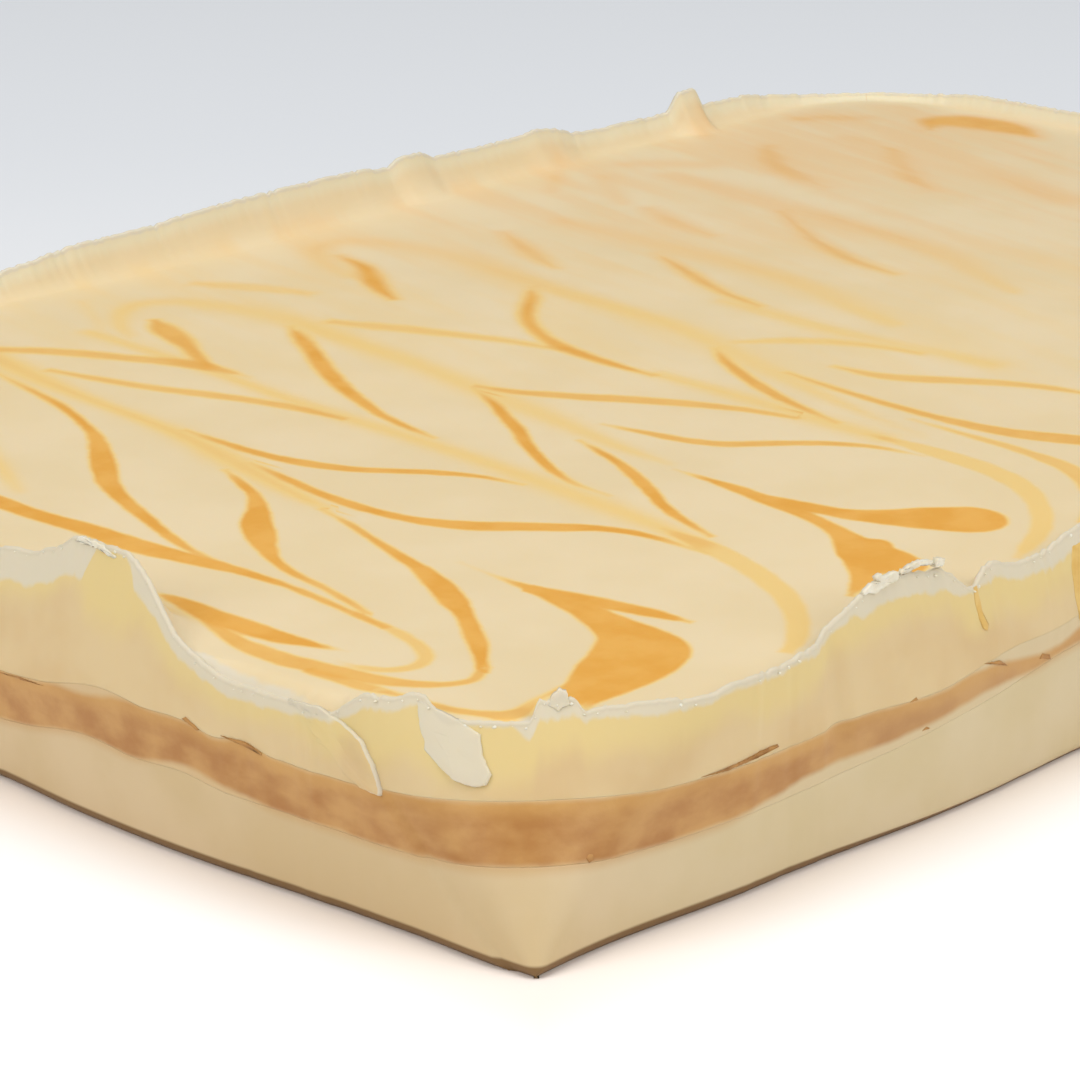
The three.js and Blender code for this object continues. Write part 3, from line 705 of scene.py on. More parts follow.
def nearest_streak(flat, streaks):
    """For each point: signed distance across, distance, half width and tone of one streak."""
    found = np.tile([FAR_AWAY, FAR_AWAY, 0.0, 0.0], (len(flat), 1))
    best = np.full(len(flat), FAR_AWAY)
    for tone, points in streaks:
        curve = smooth_curve(points)
        course = np.gradient(curve[:, :2], axis=0)
        course /= np.linalg.norm(course, axis=1)[:, None]
        for batch, distance in near_curve(flat, curve):
            pick = (distance - curve[None, :, 2]).argmin(1)
            away = distance[np.arange(len(batch)), pick]
            girth = curve[pick, 2]
            better = away - girth < best[batch]
            batch, pick, away, girth = batch[better], pick[better], away[better], girth[better]
            apart = flat[batch] - curve[pick, :2]
            across = course[pick, 0] * apart[:, 1] - course[pick, 1] * apart[:, 0]
            slack = SLACK * (1 - ramp(girth, *SLACK_FADE))
            best[batch] = away - girth
            shown = tone * ramp(girth, *TONE_RISE)
            found[batch] = np.column_stack([across, away - slack, girth, shown])
    return found


def haze_of(flat, trails):
    """How strongly the pale trails colour each point, from 0 to 1."""
    haze = np.zeros(len(flat))
    for tone, points in trails:
        curve = smooth_curve(points)
        for batch, distance in near_curve(flat, curve):
            share = distance / curve[None, :, 2]
            strength = np.exp(-TRAIL_FALL * share**2) * ramp(curve[None, :, 2], *TRAIL_RISE)
            haze[batch] = np.maximum(haze[batch], tone * strength.max(1))
    return haze


def marbling(points):
    """The values that the cream's shader reads."""
    flat = points[:, :2] + (LENGTH / 2, WIDTH / 2)
    first, second = nearest_streak(flat, FIRST_STREAKS), nearest_streak(flat, SECOND_STREAKS)
    return dict(first_streak=first[:, :3], first_tone=first[:, 3], second_streak=second[:, :3],
                second_tone=second[:, 3], trail=haze_of(flat, TRAILS))


# %% [markdown]
# ## The cream top
#
# The cream climbs the wall, rounds over a thin crest and slopes down inside it to the face.
# The face itself is a grid, blended between the four sides of the rim (a Coons patch). A fan
# of triangles to the middle would be simpler, but the marbling has to lie on it evenly.

# %% The cream top's wall, lip and face
CREST_ROUND = 0.45  # radius of the crest's rounded edge
CREST_TURNS = (0.33, 0.67, 1.0, 1.33, 1.67, 2.0)  # rows over the crest, in quarter turns
RIM_SPREAD, LIP_SPREAD = 1.0, 0.8  # width of the slope inside the crest, plus this much for each mm
SUNK_SPREAD = 2.0  # and this much for each mm that the rim is sunk
SLOPE_ROWS, SLOPE_POWER = (0.08, 0.18, 0.3, 0.44, 0.6, 0.8, 1.0), 2.2  # steep first, then level
BORDER = 11.0  # the grid starts this far inside the tin's edge
BORDER_ROWS = (0.3, 0.65, 1.0)


def rim_profile():
    """Rows from the outer wall over the crest and down to the face: points and run from the crest."""
    crest = crest_height(STATIONS)
    outer = wall_point(STATIONS, crest - CREST_ROUND)
    _, inward = edge_point(STATIONS, crest)
    for turn in CREST_TURNS:
        angle = turn * math.pi / 2
        deeper = CREST_ROUND * (1 - math.cos(angle))
        points = outer.copy()
        points[:, :2] += inward * deeper
        points[:, 2] = crest - CREST_ROUND * (1 - math.sin(angle))
        yield points, deeper
    smooth = smooth_crest(STATIONS)
    spread = RIM_SPREAD + LIP_SPREAD * np.maximum(smooth - FACE, 0)
    spread += SUNK_SPREAD * np.maximum(EDGE - smooth, 0)
    edge, _ = edge_point(STATIONS, np.full(COUNT, FACE))
    lean = over_lips(STATIONS, LEAN) - swells(STATIONS, WALL_SWELLS) / 2
    deep = np.minimum(2 * CREST_ROUND + lean + spread, BORDER - 2)
    foot = edge + inward * deep[:, None]
    start = points[:, :2]
    for share in SLOPE_ROWS:
        slope = start + (foot - start) * share
        floor = face_height(slope[:, 0], slope[:, 1])
        height = floor + (crest - CREST_ROUND - floor) * (1 - share) ** SLOPE_POWER
        run = deeper + share * spread + np.maximum(crest - height, 0)
        yield np.column_stack([slope, height]), run
    border = edge + inward * BORDER
    for share in BORDER_ROWS:
        flat = foot + (border - foot) * share
        yield np.column_stack([flat, face_height(flat[:, 0], flat[:, 1])]), run + share * BORDER


def wall_tints(walk):
    """What the cream's shader reads on the wall and the rim."""
    return dict(walk=walk_from(walk, 0), bleached=along_walk(walk, BLEACHED),
                yellow=along_walk(walk, PAINTED_GLOW))


def lip_rings(skin, last):
    """Adds the rings of the rim, and returns the last one and its points."""
    for points, run in rim_profile():
        ring = skin.add(points, rim=-run, **wall_tints(STATIONS), **marbling(points))
        skin.band(last, ring)
        last = ring
    return last, points


def face_grid(skin, rim_ring, rim_points):
    """Pentagons join every second station to a grid that is blended from the four sides."""
    _, inward = edge_point(STATIONS, np.full(COUNT, FACE))
    border = (rim_points[:, :2] + inward * COARSE)[::2]
    nx, ny = len(STEPS_X) // 2, len(STEPS_Y) // 2
    near, right = border[:nx + 1], border[nx:nx + ny + 1]
    far, left = border[nx + ny:2 * nx + ny + 1][::-1], border[2 * nx + ny:]
    left = np.vstack([left, border[:1]])[::-1]
    u = (STEPS_X[::2] / LENGTH)[:, None, None]
    v = (STEPS_Y[::2] / WIDTH)[None, :, None]
    sides = (1 - v) * near[:, None] + v * far[:, None] + (1 - u) * left[None] + u * right[None]
    low = (1 - u) * near[0] + u * near[-1]
    high = (1 - u) * far[0] + u * far[-1]
    flat = (sides - (1 - v) * low - v * high).reshape(-1, 2)
    grid = np.column_stack([flat, face_height(flat[:, 0], flat[:, 1])])
    start = skin.add(grid, rim=-2 * BORDER, **marbling(grid))
    at = start + np.arange((nx + 1) * (ny + 1)).reshape(nx + 1, ny + 1)
    cells = np.stack([at[:-1, :-1], at[1:, :-1], at[1:, 1:], at[:-1, 1:]], -1).reshape(-1, 4)
    skin.faces += cells.tolist()
    loop = np.concatenate([at[:-1, 0], at[-1, :-1], at[:0:-1, -1], at[0, :0:-1]])
    for k in range(COUNT // 2):
        here, there = rim_ring + 2 * k, rim_ring + (2 * k + 2) % COUNT
        skin.faces.append([here, here + 1, there, int(loop[(k + 1) % len(loop)]), int(loop[k])])


def cream_layer():
    skin = Skin()
    low, crest = caramel_top(STATIONS), crest_height(STATIONS)
    under = skin.add(joint_ring(wall_point(STATIONS, low), CARAMEL_TOP_INSIDE))
    skin.cap(under, up=False)
    last = under
    for height in between(low, crest - CREST_ROUND, CREAM_ROWS):
        depth = crest - height
        ring = skin.add(wall_point(STATIONS, height), rim=depth, **wall_tints(STATIONS))
        skin.band(last, ring, flat=last == under)
        last = ring
    last, points = lip_rings(skin, last)
    face_grid(skin, last, points)
    return skin


cream_top = cream_layer().piece("cream_top")

# %% [markdown]
# ## Shaders written as arithmetic
#
# A shader tree soon grows past what reads well as boxes and wires. This small class wraps an
# output socket, so that `1 - mask * 2` adds the Math nodes by itself.

# %% Wires and shaders
class Wire:
    """An output socket. Arithmetic on it adds Math nodes to its tree."""

    def __init__(self, tree, socket):
        self.tree, self.socket = tree, socket

    def math(self, operation, *others):
        return add_node(self.tree, "ShaderNodeMath", dict(operation=operation), [self, *others])

    def __add__(self, other):
        return self.math("ADD", other)

    def __sub__(self, other):
        return self.math("SUBTRACT", other)

    def __rsub__(self, other):
        return (self * -1).math("ADD", other)

    def __mul__(self, other):
        return self.math("MULTIPLY", other)

    def __truediv__(self, other):
        return self.math("DIVIDE", other)

    __radd__, __rmul__ = __add__, __mul__

    def least(self, other):
        return self.math("MINIMUM", other)

    def most(self, other):
        return self.math("MAXIMUM", other)

    def size(self):
        return self.math("ABSOLUTE")

    def ramp(self, low, high):
        """0 below low, 1 above high, smooth between. The two may stand the other way round."""
        settings = dict(interpolation_type="SMOOTHSTEP", clamp=True)
        return add_node(self.tree, "ShaderNodeMapRange", settings, [self, low, high, 0.0, 1.0])


def add_node(tree, kind, settings=None, inputs=(), output=0):
    """Adds a node, sets it up, fills or links its sockets, and returns one output as a Wire."""
    node = tree.nodes.new(kind)
    for key, value in (settings or {}).items():
        setattr(node, key, value)
    pairs = inputs.items() if isinstance(inputs, dict) else enumerate(inputs)
    for key, value in pairs:
        if isinstance(value, Wire):
            tree.links.new(value.socket, node.inputs[key])
        else:
            node.inputs[key].default_value = value
    return Wire(tree, node.outputs[output])


def paint(red, green, blue):
    """A screen colour, 0 to 255, as the linear colour that a shader needs."""
    linear = [c / 12.92 if c <= 0.04045 else ((c + 0.055) / 1.055) ** 2.4
              for c in (red / 255, green / 255, blue / 255)]
    return (*linear, 1.0)


class Finish:
    """A material with one Principled shader, and the few nodes that its colours need."""

    def __init__(self, name):
        self.material = bpy.data.materials.new(name)
        self.material.use_nodes = True
        self.tree = self.material.node_tree
        self.shader = self.tree.nodes["Principled BSDF"]

    def node(self, kind, settings=None, inputs=(), output=0):
        return add_node(self.tree, kind, settings, inputs, output)

    def place(self):
        """Object coordinates in millimetres."""
        at = self.node("ShaderNodeTexCoord", output="Object")
        return self.node("ShaderNodeVectorMath", dict(operation="SCALE"), {0: at, "Scale": 1 / MM})

    def stretched(self, at, scale):
        return self.node("ShaderNodeVectorMath", dict(operation="MULTIPLY"), [at, scale])

    def noise(self, at, size, detail=3.0, roughness=0.5):
        """Noise with features of about this size in millimetres, from 0 to 1."""
        inputs = {"Vector": at, "Scale": 1 / size, "Detail": detail, "Roughness": roughness}
        return self.node("ShaderNodeTexNoise", None, inputs, "Fac")

    def parts(self, wire):
        """The x, y and z of a vector."""
        split = self.node("ShaderNodeSeparateXYZ", None, [wire]).socket.node
        return [Wire(self.tree, output) for output in split.outputs]

    def value(self, name, output="Fac"):
        return self.node("ShaderNodeAttribute", dict(attribute_name=name), (), output)

    def blend(self, share, first, second):
        settings = dict(data_type="RGBA")
        return self.node("ShaderNodeMix", settings, {0: share, 6: first, 7: second}, 2)

    def bump(self, height, strength, distance):
        """A Bump node on the shader's normal. The distance is in metres."""
        inputs = {"Height": height, "Strength": strength, "Distance": distance}
        self.link("Normal", self.node("ShaderNodeBump", None, inputs))

    def link(self, socket, wire):
        self.tree.links.new(wire.socket, self.shader.inputs[socket])

    def set(self, **values):
        """Constants on the shader's own sockets, with _ for a space."""
        for key, value in values.items():
            self.shader.inputs[key.replace("_", " ")].default_value = value


def dress(piece, finish, node):
    """Gives a piece its finish and its place in the frame. The node is what it stands for."""
    piece.data.materials.append(finish.material)
    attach(piece, "root")
    if node:
        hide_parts(node)
    print(f"{piece.name}: {finish.material.name}, {len(finish.tree.nodes)} shader nodes")


# %% [markdown]
# ## The finish of the base
#
# The base is pale, painted a little darker and warmer on the short side as shade, with a painted shadow
# under the caramel and a painted brown band of shade along its undercut foot. Each of these could be a mesh
# of its own, with hard edges. Here one shader blends them by the height and by the values that the skin
# kept on its points.

# %% Base finish
# painted light and shade: the short side is painted darker and warmer, as in shade, the long side lighter
# and greyer, as lit
AROUND_CORNER = (-12.0, 34.0)  # walks over which the short side's tones give way to the long side's
GRAIN_DEPTH = 0.0002  # of every finish, in metres
PALE_GLOW = (1.0, 0.75, 0.45)  # how far red, green and blue light spread in pale fudge


def base_finish():
    f = Finish("pale_base_fudge")
    at, walk = f.place(), f.value("walk")
    cloud = f.noise(at, 16.0, 3).ramp(0.35, 0.7)
    # painted shade on the short side, painted light on the long side
    shaded_short_side = f.blend(cloud, paint(205, 180, 136), paint(212, 188, 148))
    lit_long_side = f.blend(cloud, paint(208, 189, 147), paint(213, 195, 158))
    colour = f.blend(walk.ramp(*AROUND_CORNER), shaded_short_side, lit_long_side)
    # painted shadow: the base is browned just under the caramel, where the caramel's shadow falls
    painted_shadow_under_caramel = f.value("below").ramp(1.4, -0.3) * 0.6
    colour = f.blend(painted_shadow_under_caramel, colour, paint(196, 152, 98))
    _, _, height = f.parts(at)
    # painted shade: a dark brown band along the undercut foot, where the contact shade falls, taller on the
    # short side
    foot_shade_height = 1.5 - walk.ramp(30.0, 92.0) * 0.9
    painted_foot_shade = (height / foot_shade_height).ramp(1.08, 0.8)
    f.link("Base Color", f.blend(painted_foot_shade, colour, paint(128, 98, 60)))
    f.bump(f.noise(at, 1.2, 4), 0.15, GRAIN_DEPTH)
    f.set(Roughness=0.5, Subsurface_Weight=0.1, Subsurface_Scale=0.0004,
          Subsurface_Radius=PALE_GLOW, Specular_IOR_Level=0.35)
    return f


dress(pale_base, base_finish(), "base_layer")

# %% [markdown]
# ## The finish of the caramel
#
# The caramel is cloudy, browner low down and lighter near its upper edge, and it melts unevenly into the
# layers above and below. Its long side is painted lighter, as lit, and its short side darker, as in shade.
# Noise alone would scatter all that anywhere, so it only clouds the tan and roughens the edges, whose
# places come from the skin's values.

# %% Caramel finish
CARAMEL_GLOW = (1.0, 0.6, 0.3)


def caramel_finish():
    f = Finish("caramel_fudge")
    at, walk = f.place(), f.value("walk")
    cloud = f.noise(f.stretched(at, (1.0, 1.0, 1.8)), 8.0, 4)
    colour = f.blend(cloud.ramp(0.32, 0.68), paint(173, 119, 62), paint(197, 149, 88))
    # painted light: the caramel is painted lighter and greyer on the long side
    long_side_light = walk.ramp(30.0, 80.0) * 0.5
    colour = f.blend(long_side_light, colour, paint(196, 154, 100))
    near_top = f.value("below").ramp(2.6, 0.3) * 0.55
    colour = f.blend(near_top, colour, paint(206, 158, 88))
    ragged = f.value("inside") + (f.noise(at, 4.5, 2) - 0.5) * 0.6
    # the pale edge too is painted darker on the short side, as shade
    pale = f.blend(walk.ramp(*AROUND_CORNER), paint(207, 178, 132), paint(210, 189, 148))
    f.link("Base Color", f.blend(ragged.ramp(0.6, -0.5), colour, pale))
    f.bump(f.noise(at, 1.0, 4), 0.2, GRAIN_DEPTH)
    f.set(Roughness=0.42, Subsurface_Weight=0.1, Subsurface_Scale=0.0004,
          Subsurface_Radius=CARAMEL_GLOW, Specular_IOR_Level=0.4)
    return f


dress(caramel_band, caramel_finish(), "caramel_layer")

# %% [markdown]
# ## The finish of the cream
#
# One finish covers the face, the rim and the cream's wall, because the cream runs over the
# rim without a seam. The value `rim` is the run from the crest: below 0 on the face, above 0
# down the wall. It tells the shader where the marbling ends and the wall's tints begin.

# %% Cream finish
def streak_mask(f, name, softness, wobble):
    """Caramel on one set of streaks: its own tone inside, nothing outside, soft at the edge."""
    across, away, girth = f.parts(f.value(name + "_streak", "Vector"))
    distance = across.size().most(away)
    girth = girth + wobble
    return distance.ramp(girth + softness, girth - softness) * f.value(name + "_tone")


def marbled_face(f, at, rim):
    """The face's colour: cream, pale trails, haze towards the far corner, and caramel streaks."""
    x, y, _ = f.parts(at)
    far = (x + y * 0.9).ramp(-110.0, 180.0)
    softness = far * 2.2 + 0.6
    wobble = (f.noise(at, 3.0, 2) - 0.5) * 0.6
    first = streak_mask(f, "first", softness, wobble)
    second = streak_mask(f, "second", softness, wobble)
    drawn = f.node("ShaderNodeCombineXYZ", None, [x * 0.122 - y * 0.030, x * 0.004 + y * 0.016, 0.0])
    haze = f.noise(drawn, 1.0, 3).ramp(0.38, 0.68) * far * rim.ramp(-5.0, -11.0) * 0.42
    caramel = 1 - (1 - first) * (1 - second) * (1 - f.value("trail")) * (1 - haze)
    cream = f.blend(f.noise(at, 22.0, 3).ramp(0.35, 0.65), paint(224, 203, 161), paint(227, 207, 168))
    faint = f.blend(far.ramp(0.3, 0.9), paint(231, 198, 128), paint(228, 194, 144))
    rich = f.blend(f.noise(at, 6.0, 3).ramp(0.35, 0.65), paint(222, 160, 64), paint(227, 170, 80))
    face = f.blend((caramel * 2).least(1), cream, faint)
    face = f.blend((caramel * 2 - 1).most(0), face, rich)
    far_rim = rim.ramp(-5.5, -2.0) * f.value("walk").size().ramp(150.0, 220.0) * 0.8
    return f.blend(far_rim, face, paint(228, 219, 188))


def cream_wall(f, at, rim):
    """The wall's colour: a painted glow below the rim, for light that passes out through the thin cream,
    and tan below an uneven depth.
    """
    tan = f.blend(f.noise(at, 14.0, 3).ramp(0.35, 0.65), paint(213, 184, 136), paint(219, 194, 148))
    depth = rim + (f.noise(at, 9.0, 3) - 0.5) * 5 - f.value("yellow")
    # painted glow: the golden band stands for light that passes out through the thin cream below the rim
    return f.blend(depth.ramp(-0.5, 4.0), paint(223, 199, 139), tan)


def cream_finish():
    f = Finish("marbled_cream_fudge")
    at, rim = f.place(), f.value("rim")
    colour = f.blend(rim.ramp(-0.5, 0.5), marbled_face(f, at, rim), cream_wall(f, at, rim))
    from_crest = rim.size()
    ragged = from_crest + (f.noise(at, 2.4, 3) - 0.5) * 1.3
    white = (ragged - f.value("bleached")).ramp(0.45, -0.35) * 0.75
    colour = f.blend(white, colour, paint(215, 208, 191))
    crest = from_crest.ramp(0.8, 0.2) * 0.35
    f.link("Base Color", f.blend(crest, colour, paint(200, 190, 166)))
    f.bump(f.noise(at, 1.0, 4), 0.1, GRAIN_DEPTH)
    f.set(Roughness=0.5, Subsurface_Weight=0.3, Subsurface_Scale=0.0007,
          Subsurface_Radius=PALE_GLOW, Specular_IOR_Level=0.25)
    return f


cream = cream_finish()
dress(cream_top, cream, "top_layer")

# %% [markdown]
# ## Flaps, flakes and drips
#
# Where the paper tore away it left a flap of cream beside the crease, pale flakes on the rim, and drips of
# caramel; small dark caramel-toned marks paint the shade in little cracks along the caramel. They could be
# sculpted onto the wall, but then its rings would have to be far finer. Each is an outline on the wall
# instead: walk, height, and how far it stands proud there. Every patch is a closed solid. Its back is sunk
# in the wall, but for what stands above the crest, and a small seeded tear keeps its edge from looking cut.

# %% A patch on the wall
TEAR_STEP = 0.35  # millimetres between an outline's points
SUNK = 0.4  # how far a patch's back lies inside the wall
# rings from the front's rounded edge to its middle: share of the outline, and of its proud height
FRONT_RINGS = ((1.0, 0.5), (0.97, 0.9), (0.93, 1.0), (0.6, 1.0), (0.3, 1.0))
EDGE_SHARE, EDGE_PROUD = 0.95, 0.3  # a pale edge lies outside this share, where it is this proud
FULLY_PALE = 12.0  # a bleached depth that no patch outreaches


def torn_outline(corners, tear, seed):
    """Points every TEAR_STEP along an outline, each shifted at random by up to the tear."""
    corners = np.array(corners, float)
    draw = np.random.default_rng(seed)
    points = []
    for start, end in zip(corners, np.roll(corners, -1, axis=0)):
        count = max(round(math.hypot(*(end - start)[:2]) / TEAR_STEP), 1)
        points += [start + (end - start) * k / count for k in range(count)]
    points = np.array(points)
    points[:, :2] += draw.uniform(-tear, tear, (len(points), 2))
    return points


def add_patch(skin, corners, tear=0.08, seed=1, pale=0.0, pale_edge=0.0):
    """Adds a closed patch. Its corners run counterclockwise as seen from outside the slab."""
    outline = torn_outline(corners, tear, seed)
    middle = outline.mean(axis=0)
    count, last = len(outline), None
    for share, proud in ((1.0, None),) + FRONT_RINGS:
        at = middle + (outline - middle) * share
        walk, height = at[:, 0], at[:, 1]
        deeper = np.full(count, SUNK) if proud is None else -at[:, 2] * proud
        tints = wall_tints(walk)
        edge = pale_edge * (outline[:, 2] > EDGE_PROUD) * (share > EDGE_SHARE)
        tints["bleached"] = np.maximum(tints["bleached"], np.maximum(pale, edge))
        ring = skin.add(wall_point(walk, height, deeper), rim=crest_height(walk) - height, **tints)
        if last is None:
            skin.cap(ring, up=False, count=count)
        else:
            skin.band(last, ring, count=count)
        last = ring
    skin.cap(last, up=True, count=count)


# %% The flap beside the crease, a strip of cream on the wall and a crag on the rim
FLAP = [
    (-38, 24.6, -0.1), (-36, 21.6, -0.1), (-31, 18.6, -0.1), (-25.5, 16.6, 0.1), (-21.8, 16.4, 0.5),
    (-22.8, 19.7, 0.6), (-24.6, 22.2, 0.55), (-28, 23.7, 0.4), (-32, 24.8, 0.1),
]
TONGUE = [
    (-18.6, 25.4, -0.15), (-16.6, 23.4, -0.1), (-14.2, 22.0, 0.05), (-12.6, 20.9, 0.25),
    (-10.6, 19.8, 0.5), (-7.8, 19.3, 0.55), (-6.2, 19.6, 0.55), (-5.6, 20.6, 0.5), (-6.8, 22.6, 0.45),
    (-7.2, 24.7, 0.35), (-10.0, 25.9, 0.2), (-13.2, 26.8, 0.1), (-16.4, 27.5, 0.0), (-18.2, 27.2, -0.1),
]
CRAG = [
    (2.2, 27.6, 0.1), (3.6, 27.0, 0.2), (5.2, 27.6, 0.2), (4.9, 28.9, 0.2), (3.9, 29.2, 0.2),
    (3.0, 28.8, 0.1),
]

flap_skin = Skin()
add_patch(flap_skin, FLAP, tear=0.05, seed=4, pale_edge=FULLY_PALE)
add_patch(flap_skin, TONGUE, tear=0.05, seed=5, pale=FULLY_PALE)
add_patch(flap_skin, CRAG, tear=0.1, seed=6, pale=FULLY_PALE)
dress(flap_skin.piece("cream_flaps"), cream, None)

# %% Torn flakes on the rim
FLAKES = [
    [(59.6, 31.0, 0.2), (61.0, 30.7, 0.35), (62.6, 31.0, 0.4), (65.8, 31.4, 0.35), (66.1, 32.3, 0.3),
     (64.6, 32.5, 0.3), (63.4, 32.3, 0.3), (62.9, 32.9, 0.25), (61.9, 32.5, 0.3), (62.3, 31.9, 0.3),
     (60.8, 31.8, 0.2)],
    [(66.4, 31.7, 0.2), (69.8, 32.1, 0.3), (72.9, 31.7, 0.2), (72.6, 32.2, 0.2), (69.6, 32.8, 0.3),
     (66.9, 32.3, 0.2)],
    [(72.9, 31.3, 0.5), (74.3, 31.2, 0.6), (74.6, 32.0, 0.5), (73.4, 32.3, 0.5)],
    [(-80.5, 33.7, 0.1), (-76.0, 33.7, 0.2), (-73.0, 33.1, 0.1), (-72.8, 33.5, 0.1), (-76.0, 34.25, 0.2),
     (-80.3, 34.3, 0.1)],
]


def flake_finish():
    f = Finish("torn_cream")
    at = f.place()
    cloud = f.noise(at, 2.0, 4)
    f.link("Base Color", f.blend(cloud.ramp(0.3, 0.7), paint(222, 212, 186), paint(232, 226, 208)))
    f.bump(f.noise(at, 0.8, 4), 0.2, GRAIN_DEPTH)
    f.set(Roughness=0.55, Subsurface_Weight=0.25, Subsurface_Scale=0.0005,
          Subsurface_Radius=(1.0, 0.8, 0.55), Specular_IOR_Level=0.25)
    return f


flake_skin = Skin()
for seed, corners in enumerate(FLAKES):
    add_patch(flake_skin, corners, tear=0.12, seed=seed)
torn = flake_finish()
dress(flake_skin.piece("torn_flakes"), torn, None)

# %% Drips of caramel, and painted shade in small cracks
DRIPS = [
    [(78.9, 25.6, 0.05), (79.3, 23.6, 0.1), (79.8, 22.2, 0.25), (80.4, 21.8, 0.3), (80.8, 22.5, 0.25),
     (80.1, 24.2, 0.1), (79.9, 27.4, 0.05), (79.0, 27.4, 0.05)],
    [(99.2, 21.4, 0.05), (100.0, 18.2, 0.2), (100.9, 17.6, 0.3), (101.8, 18.4, 0.2), (102.2, 21.5, 0.1),
     (103.4, 25.0, 0.05), (103.0, 27.6, 0.05), (100.4, 27.4, 0.05), (99.4, 25.0, 0.05)],
]
# dark caramel-toned marks that paint the shade in small cracks along the caramel's edges
CRACK_SHADE_MARKS = [
    [(26, 16.95, 0.05), (31, 16.65, 0.1), (34.5, 16.9, 0.2), (38, 17.1, 0.25), (41, 17.2, 0.1),
     (40.6, 17.6, 0.1), (37, 17.6, 0.25), (34, 17.25, 0.2), (30, 16.95, 0.1)],
    [(79.4, 17.9, 0.1), (82.4, 17.0, 0.2), (84.2, 16.4, 0.1), (82.6, 17.5, 0.2)],
    [(91.2, 15.4, 0.1), (93.6, 14.7, 0.2), (93.4, 15.3, 0.1), (91.8, 15.9, 0.1)],
    [(65.0, 16.6, 0.05), (66.4, 16.6, 0.1), (66.2, 17.0, 0.05)],
    [(67.2, 12.4, 0.05), (68.6, 12.4, 0.1), (68.0, 12.8, 0.05)],
    [(-57.0, 17.8, 0.1), (-54.4, 16.9, 0.2), (-54.0, 17.1, 0.1), (-56.4, 18.1, 0.1)],
    [(-50.4, 17.3, 0.1), (-46.6, 16.9, 0.2), (-43.4, 16.5, 0.1), (-43.2, 16.8, 0.1), (-46.4, 17.4, 0.2)],
    [(-93.0, 14.4, 0.05), (-88.0, 14.7, 0.1), (-83.0, 15.2, 0.05), (-88.0, 14.95, 0.1)],
    [(7.0, 11.6, 0.05), (7.5, 11.1, 0.1), (8.2, 11.3, 0.1), (8.0, 11.9, 0.05), (7.4, 12.0, 0.05)],
]


FIRST_CARAMEL_SEED = 20


def caramel_patches(name, outlines, first, second, roughness):
    """One piece of caramel patches, with two tones in its finish."""
    skin = Skin()
    for seed, corners in enumerate(outlines):
        add_patch(skin, corners, tear=0.05, seed=FIRST_CARAMEL_SEED + seed)
    f = Finish(name)
    cloud = f.noise(f.place(), 1.6, 3)
    f.link("Base Color", f.blend(cloud.ramp(0.35, 0.65), first, second))
    f.bump(cloud, 0.1, GRAIN_DEPTH)
    f.set(Roughness=roughness, Specular_IOR_Level=0.4)
    dress(skin.piece(name), f, None)


caramel_patches("caramel_drips", DRIPS, paint(218, 176, 96), paint(224, 188, 112), 0.3)
# painted shade: the cracks' darkness is given as dark caramel tones
caramel_patches("painted_crack_shade", CRACK_SHADE_MARKS, paint(164, 114, 58), paint(186, 136, 72), 0.45)

# %% [markdown]
# ## Crumbs along the rim
#
# The torn rim shed a few crumbs. Placing each by hand would take long and look even. A line
# that follows the rim is handed to a Geometry Nodes tree instead, which strews small lumps
# along it and makes them real, so that they can be exported.

# %% Crumbs
def crumb_tree():
    """Lumps at random places along a line. Returns the tree and its inputs' identifiers."""
    tree = bpy.data.node_groups.new("crumbs", "GeometryNodeTree")
    kinds = {"Line": "Geometry", "Count": "Int", "Smallest": "Float", "Largest": "Float",
             "Spread": "Float", "Seed": "Int", "Finish": "Material"}
    inputs = {name: tree.interface.new_socket(name=name, in_out="INPUT", socket_type="NodeSocket" + kind)
              for name, kind in kinds.items()}
    tree.interface.new_socket(name="Crumbs", in_out="OUTPUT", socket_type="NodeSocketGeometry")
    source = tree.nodes.new("NodeGroupInput")
    given = {name: Wire(tree, source.outputs[name]) for name in kinds}
    seed = given["Seed"]
    vector = dict(data_type="FLOAT_VECTOR")
    curve = add_node(tree, "GeometryNodeMeshToCurve", None, [given["Line"]])
    points = add_node(tree, "GeometryNodeCurveToPoints", dict(mode="COUNT"),
                      {"Curve": curve, "Count": given["Count"]})
    corner = add_node(tree, "ShaderNodeCombineXYZ", None, [given["Spread"]] * 2 + [given["Spread"] * 0.5])
    low = add_node(tree, "ShaderNodeVectorMath", dict(operation="SCALE"), {0: corner, "Scale": -1.0})
    shift = add_node(tree, "FunctionNodeRandomValue", vector, {0: low, 1: corner, "Seed": seed})
    points = add_node(tree, "GeometryNodeSetPosition", None, {"Geometry": points, "Offset": shift})
    lump = add_node(tree, "GeometryNodeMeshIcoSphere", None, {"Radius": 1.0, "Subdivisions": 2})
    size = add_node(tree, "FunctionNodeRandomValue", dict(data_type="FLOAT"),
                    {2: given["Smallest"], 3: given["Largest"], "Seed": seed + 1}, 1)
    uneven = add_node(tree, "FunctionNodeRandomValue", vector,
                      {0: (0.6, 0.6, 0.4), 1: (1.3, 1.3, 0.9), "Seed": seed + 2})
    scale = add_node(tree, "ShaderNodeVectorMath", dict(operation="SCALE"), {0: uneven, "Scale": size})
    turn = add_node(tree, "FunctionNodeRandomValue", vector,
                    {0: (-0.5, -0.5, 0.0), 1: (0.5, 0.5, 2 * math.pi), "Seed": seed + 3})
    strewn = add_node(tree, "GeometryNodeInstanceOnPoints", None,
                      {"Points": points, "Instance": lump, "Rotation": turn, "Scale": scale})
    real = add_node(tree, "GeometryNodeRealizeInstances", None, [strewn])
    done = add_node(tree, "GeometryNodeSetMaterial", None, {"Geometry": real, "Material": given["Finish"]})
    tree.links.new(done.socket, tree.nodes.new("NodeGroupOutput").inputs[0])
    return tree, {name: socket.identifier for name, socket in inputs.items()}


BELOW_CREST, IN_WALL = 0.7, 0.1  # where the crumbs' line runs


